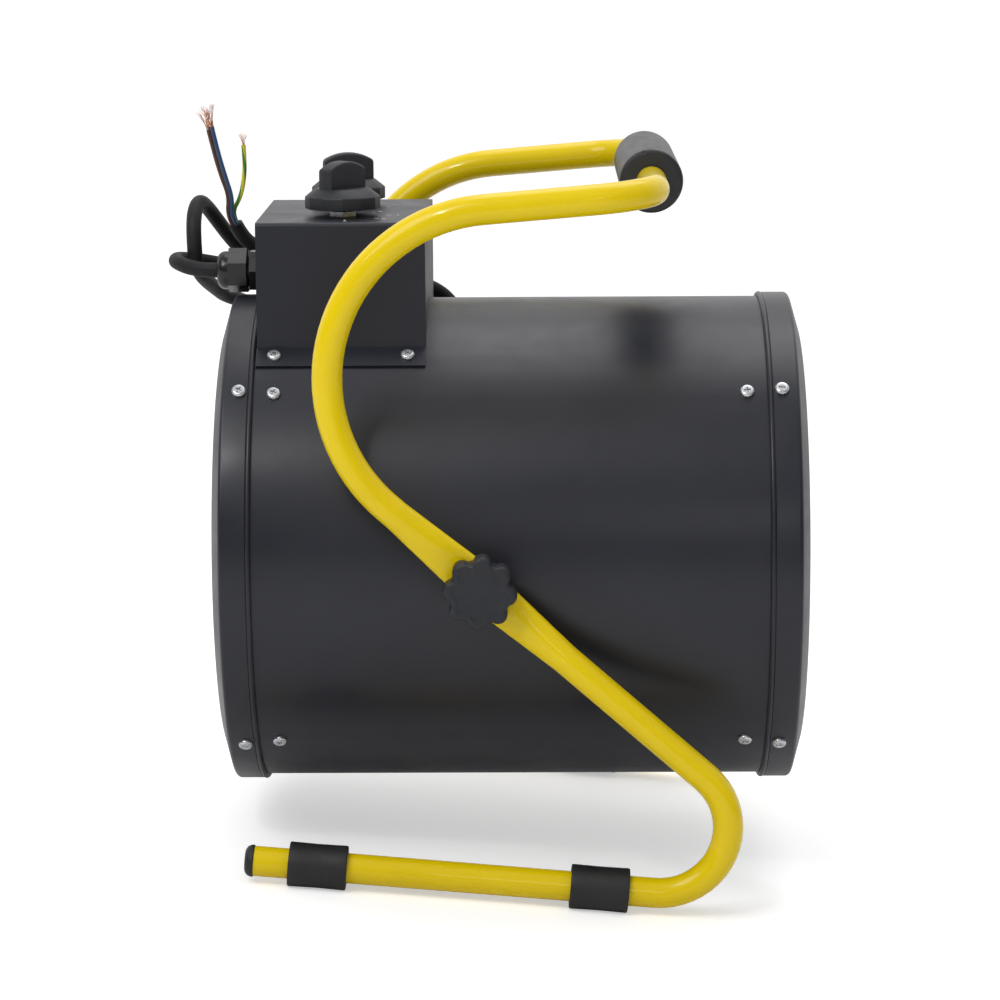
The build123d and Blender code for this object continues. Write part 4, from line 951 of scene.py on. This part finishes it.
modeMarks, heatMarks = [], []
for words, angle in scale["modes"].items():
    modeMarks += [tick(angle, scale["from"], scale["to"], scale["width"]), number(words, angle)]
for index in range(scale["heats"]):
    # the row grows wider towards hot, with a longer tick at either end
    end = scale["to"] - scale["heatShort"] + (scale["endLong"] if index in (0, scale["heats"] - 1) else 0)
    heatMarks.append(tick(scale["heatFrom"] - scale["heatStep"] * index, scale["from"], end,
                          scale["heatWidth"] + scale["widen"] * index))
for name, marks, y in (("modeScale", modeMarks, knob["near"]), ("thermostatScale", heatMarks, knob["far"])):
    piece = joined(name, *marks)
    place = drumFrame @ Matrix.Translation(Vector((knob["x"], y, scale["panel"])) * mm)
    settle(piece, place, "drum", "panel_marks")
print("scales printed")


# studio: pale floor, soft boxes, white all round
studio = {
    "lamps": {  # place, size and power
        "key": ((-1.5, -1.5, 2.1), 1.5, 23.0), "front": ((0.3, -2.6, 1.0), 0.7, 2.2),
        "top": ((0.15, 0.6, 2.2), 1.4, 11.0), "spark": ((-0.75, -1.5, 1.75), 0.16, 4.2),
    },
    "room": 0.15, "backdrop": 0.95, "zenith": 0.6,
    "floor": (0.86, 0.86, 0.86), "floorSize": 44, "floorGlow": 0.45, "aim": (0, 0, 0.2),
}
for name, (place, size, power) in studio["lamps"].items():
    towards = Vector(studio["aim"]) - Vector(place)
    deselectAll()
    bpy.ops.object.light_add(type="AREA", location=place, rotation=towards.to_track_quat("-Z", "Y").to_euler())
    lamp = bpy.context.active_object
    lamp.name = name + "Lamp"
    lamp.data.size = size
    lamp.data.energy = power

world = bpy.data.worlds.new("studio")
scene.world = world
world.use_nodes = True
tree = world.node_tree
tree.nodes.clear()
where = tree.nodes.new("ShaderNodeTexCoord")
split = tree.nodes.new("ShaderNodeSeparateXYZ")
tree.links.new(where.outputs["Generated"], split.inputs["Vector"])
# the backdrop behind the heater and the ceiling are bright, the room in front is not
upward = ranged(tree, split.outputs["Z"], studio["room"], studio["zenith"], 0.1, 0.9)
backward = ranged(tree, split.outputs["Y"], studio["room"], studio["backdrop"], -0.1, 0.45)
brighter = tree.nodes.new("ShaderNodeMath")
brighter.operation = "MAXIMUM"
tree.links.new(upward, brighter.inputs[0])
tree.links.new(backward, brighter.inputs[1])
room = tree.nodes.new("ShaderNodeBackground")
room.inputs["Color"].default_value = (1, 1, 1, 1)
tree.links.new(brighter.outputs["Value"], room.inputs["Strength"])
white = tree.nodes.new("ShaderNodeBackground")
white.inputs["Color"].default_value = (1, 1, 1, 1)
white.inputs["Strength"].default_value = 1.0
rays = tree.nodes.new("ShaderNodeLightPath")
mixed = tree.nodes.new("ShaderNodeMixShader")
tree.links.new(rays.outputs["Is Camera Ray"], mixed.inputs["Fac"])
tree.links.new(room.outputs["Background"], mixed.inputs[1])
tree.links.new(white.outputs["Background"], mixed.inputs[2])
ends = tree.nodes.new("ShaderNodeOutputWorld")
tree.links.new(mixed.outputs["Shader"], ends.inputs["Surface"])

deselectAll()
bpy.ops.mesh.primitive_plane_add(size=studio["floorSize"])
floor = bpy.context.active_object
floor.name = "floor"
floorFinish, floorTree, floorShader = startFinish("floorFinish", studio["floor"], 0.7)
floorShader.inputs["Specular IOR Level"].default_value = 0.2
glow = floorTree.nodes.new("ShaderNodeEmission")
glow.inputs["Strength"].default_value = studio["floorGlow"]
lift = floorTree.nodes.new("ShaderNodeAddShader")
seen = floorTree.nodes.new("ShaderNodeLightPath")
choose = floorTree.nodes.new("ShaderNodeMixShader")
floorTree.links.new(floorShader.outputs["BSDF"], lift.inputs[0])
floorTree.links.new(glow.outputs["Emission"], lift.inputs[1])
floorTree.links.new(seen.outputs["Is Camera Ray"], choose.inputs["Fac"])
floorTree.links.new(floorShader.outputs["BSDF"], choose.inputs[1])
floorTree.links.new(lift.outputs["Shader"], choose.inputs[2])
floorTree.links.new(choose.outputs["Shader"], floorTree.nodes["Material Output"].inputs["Surface"])
floor.data.materials.append(floorFinish)

scene.view_settings.view_transform = "Standard"
print("all pieces in place")
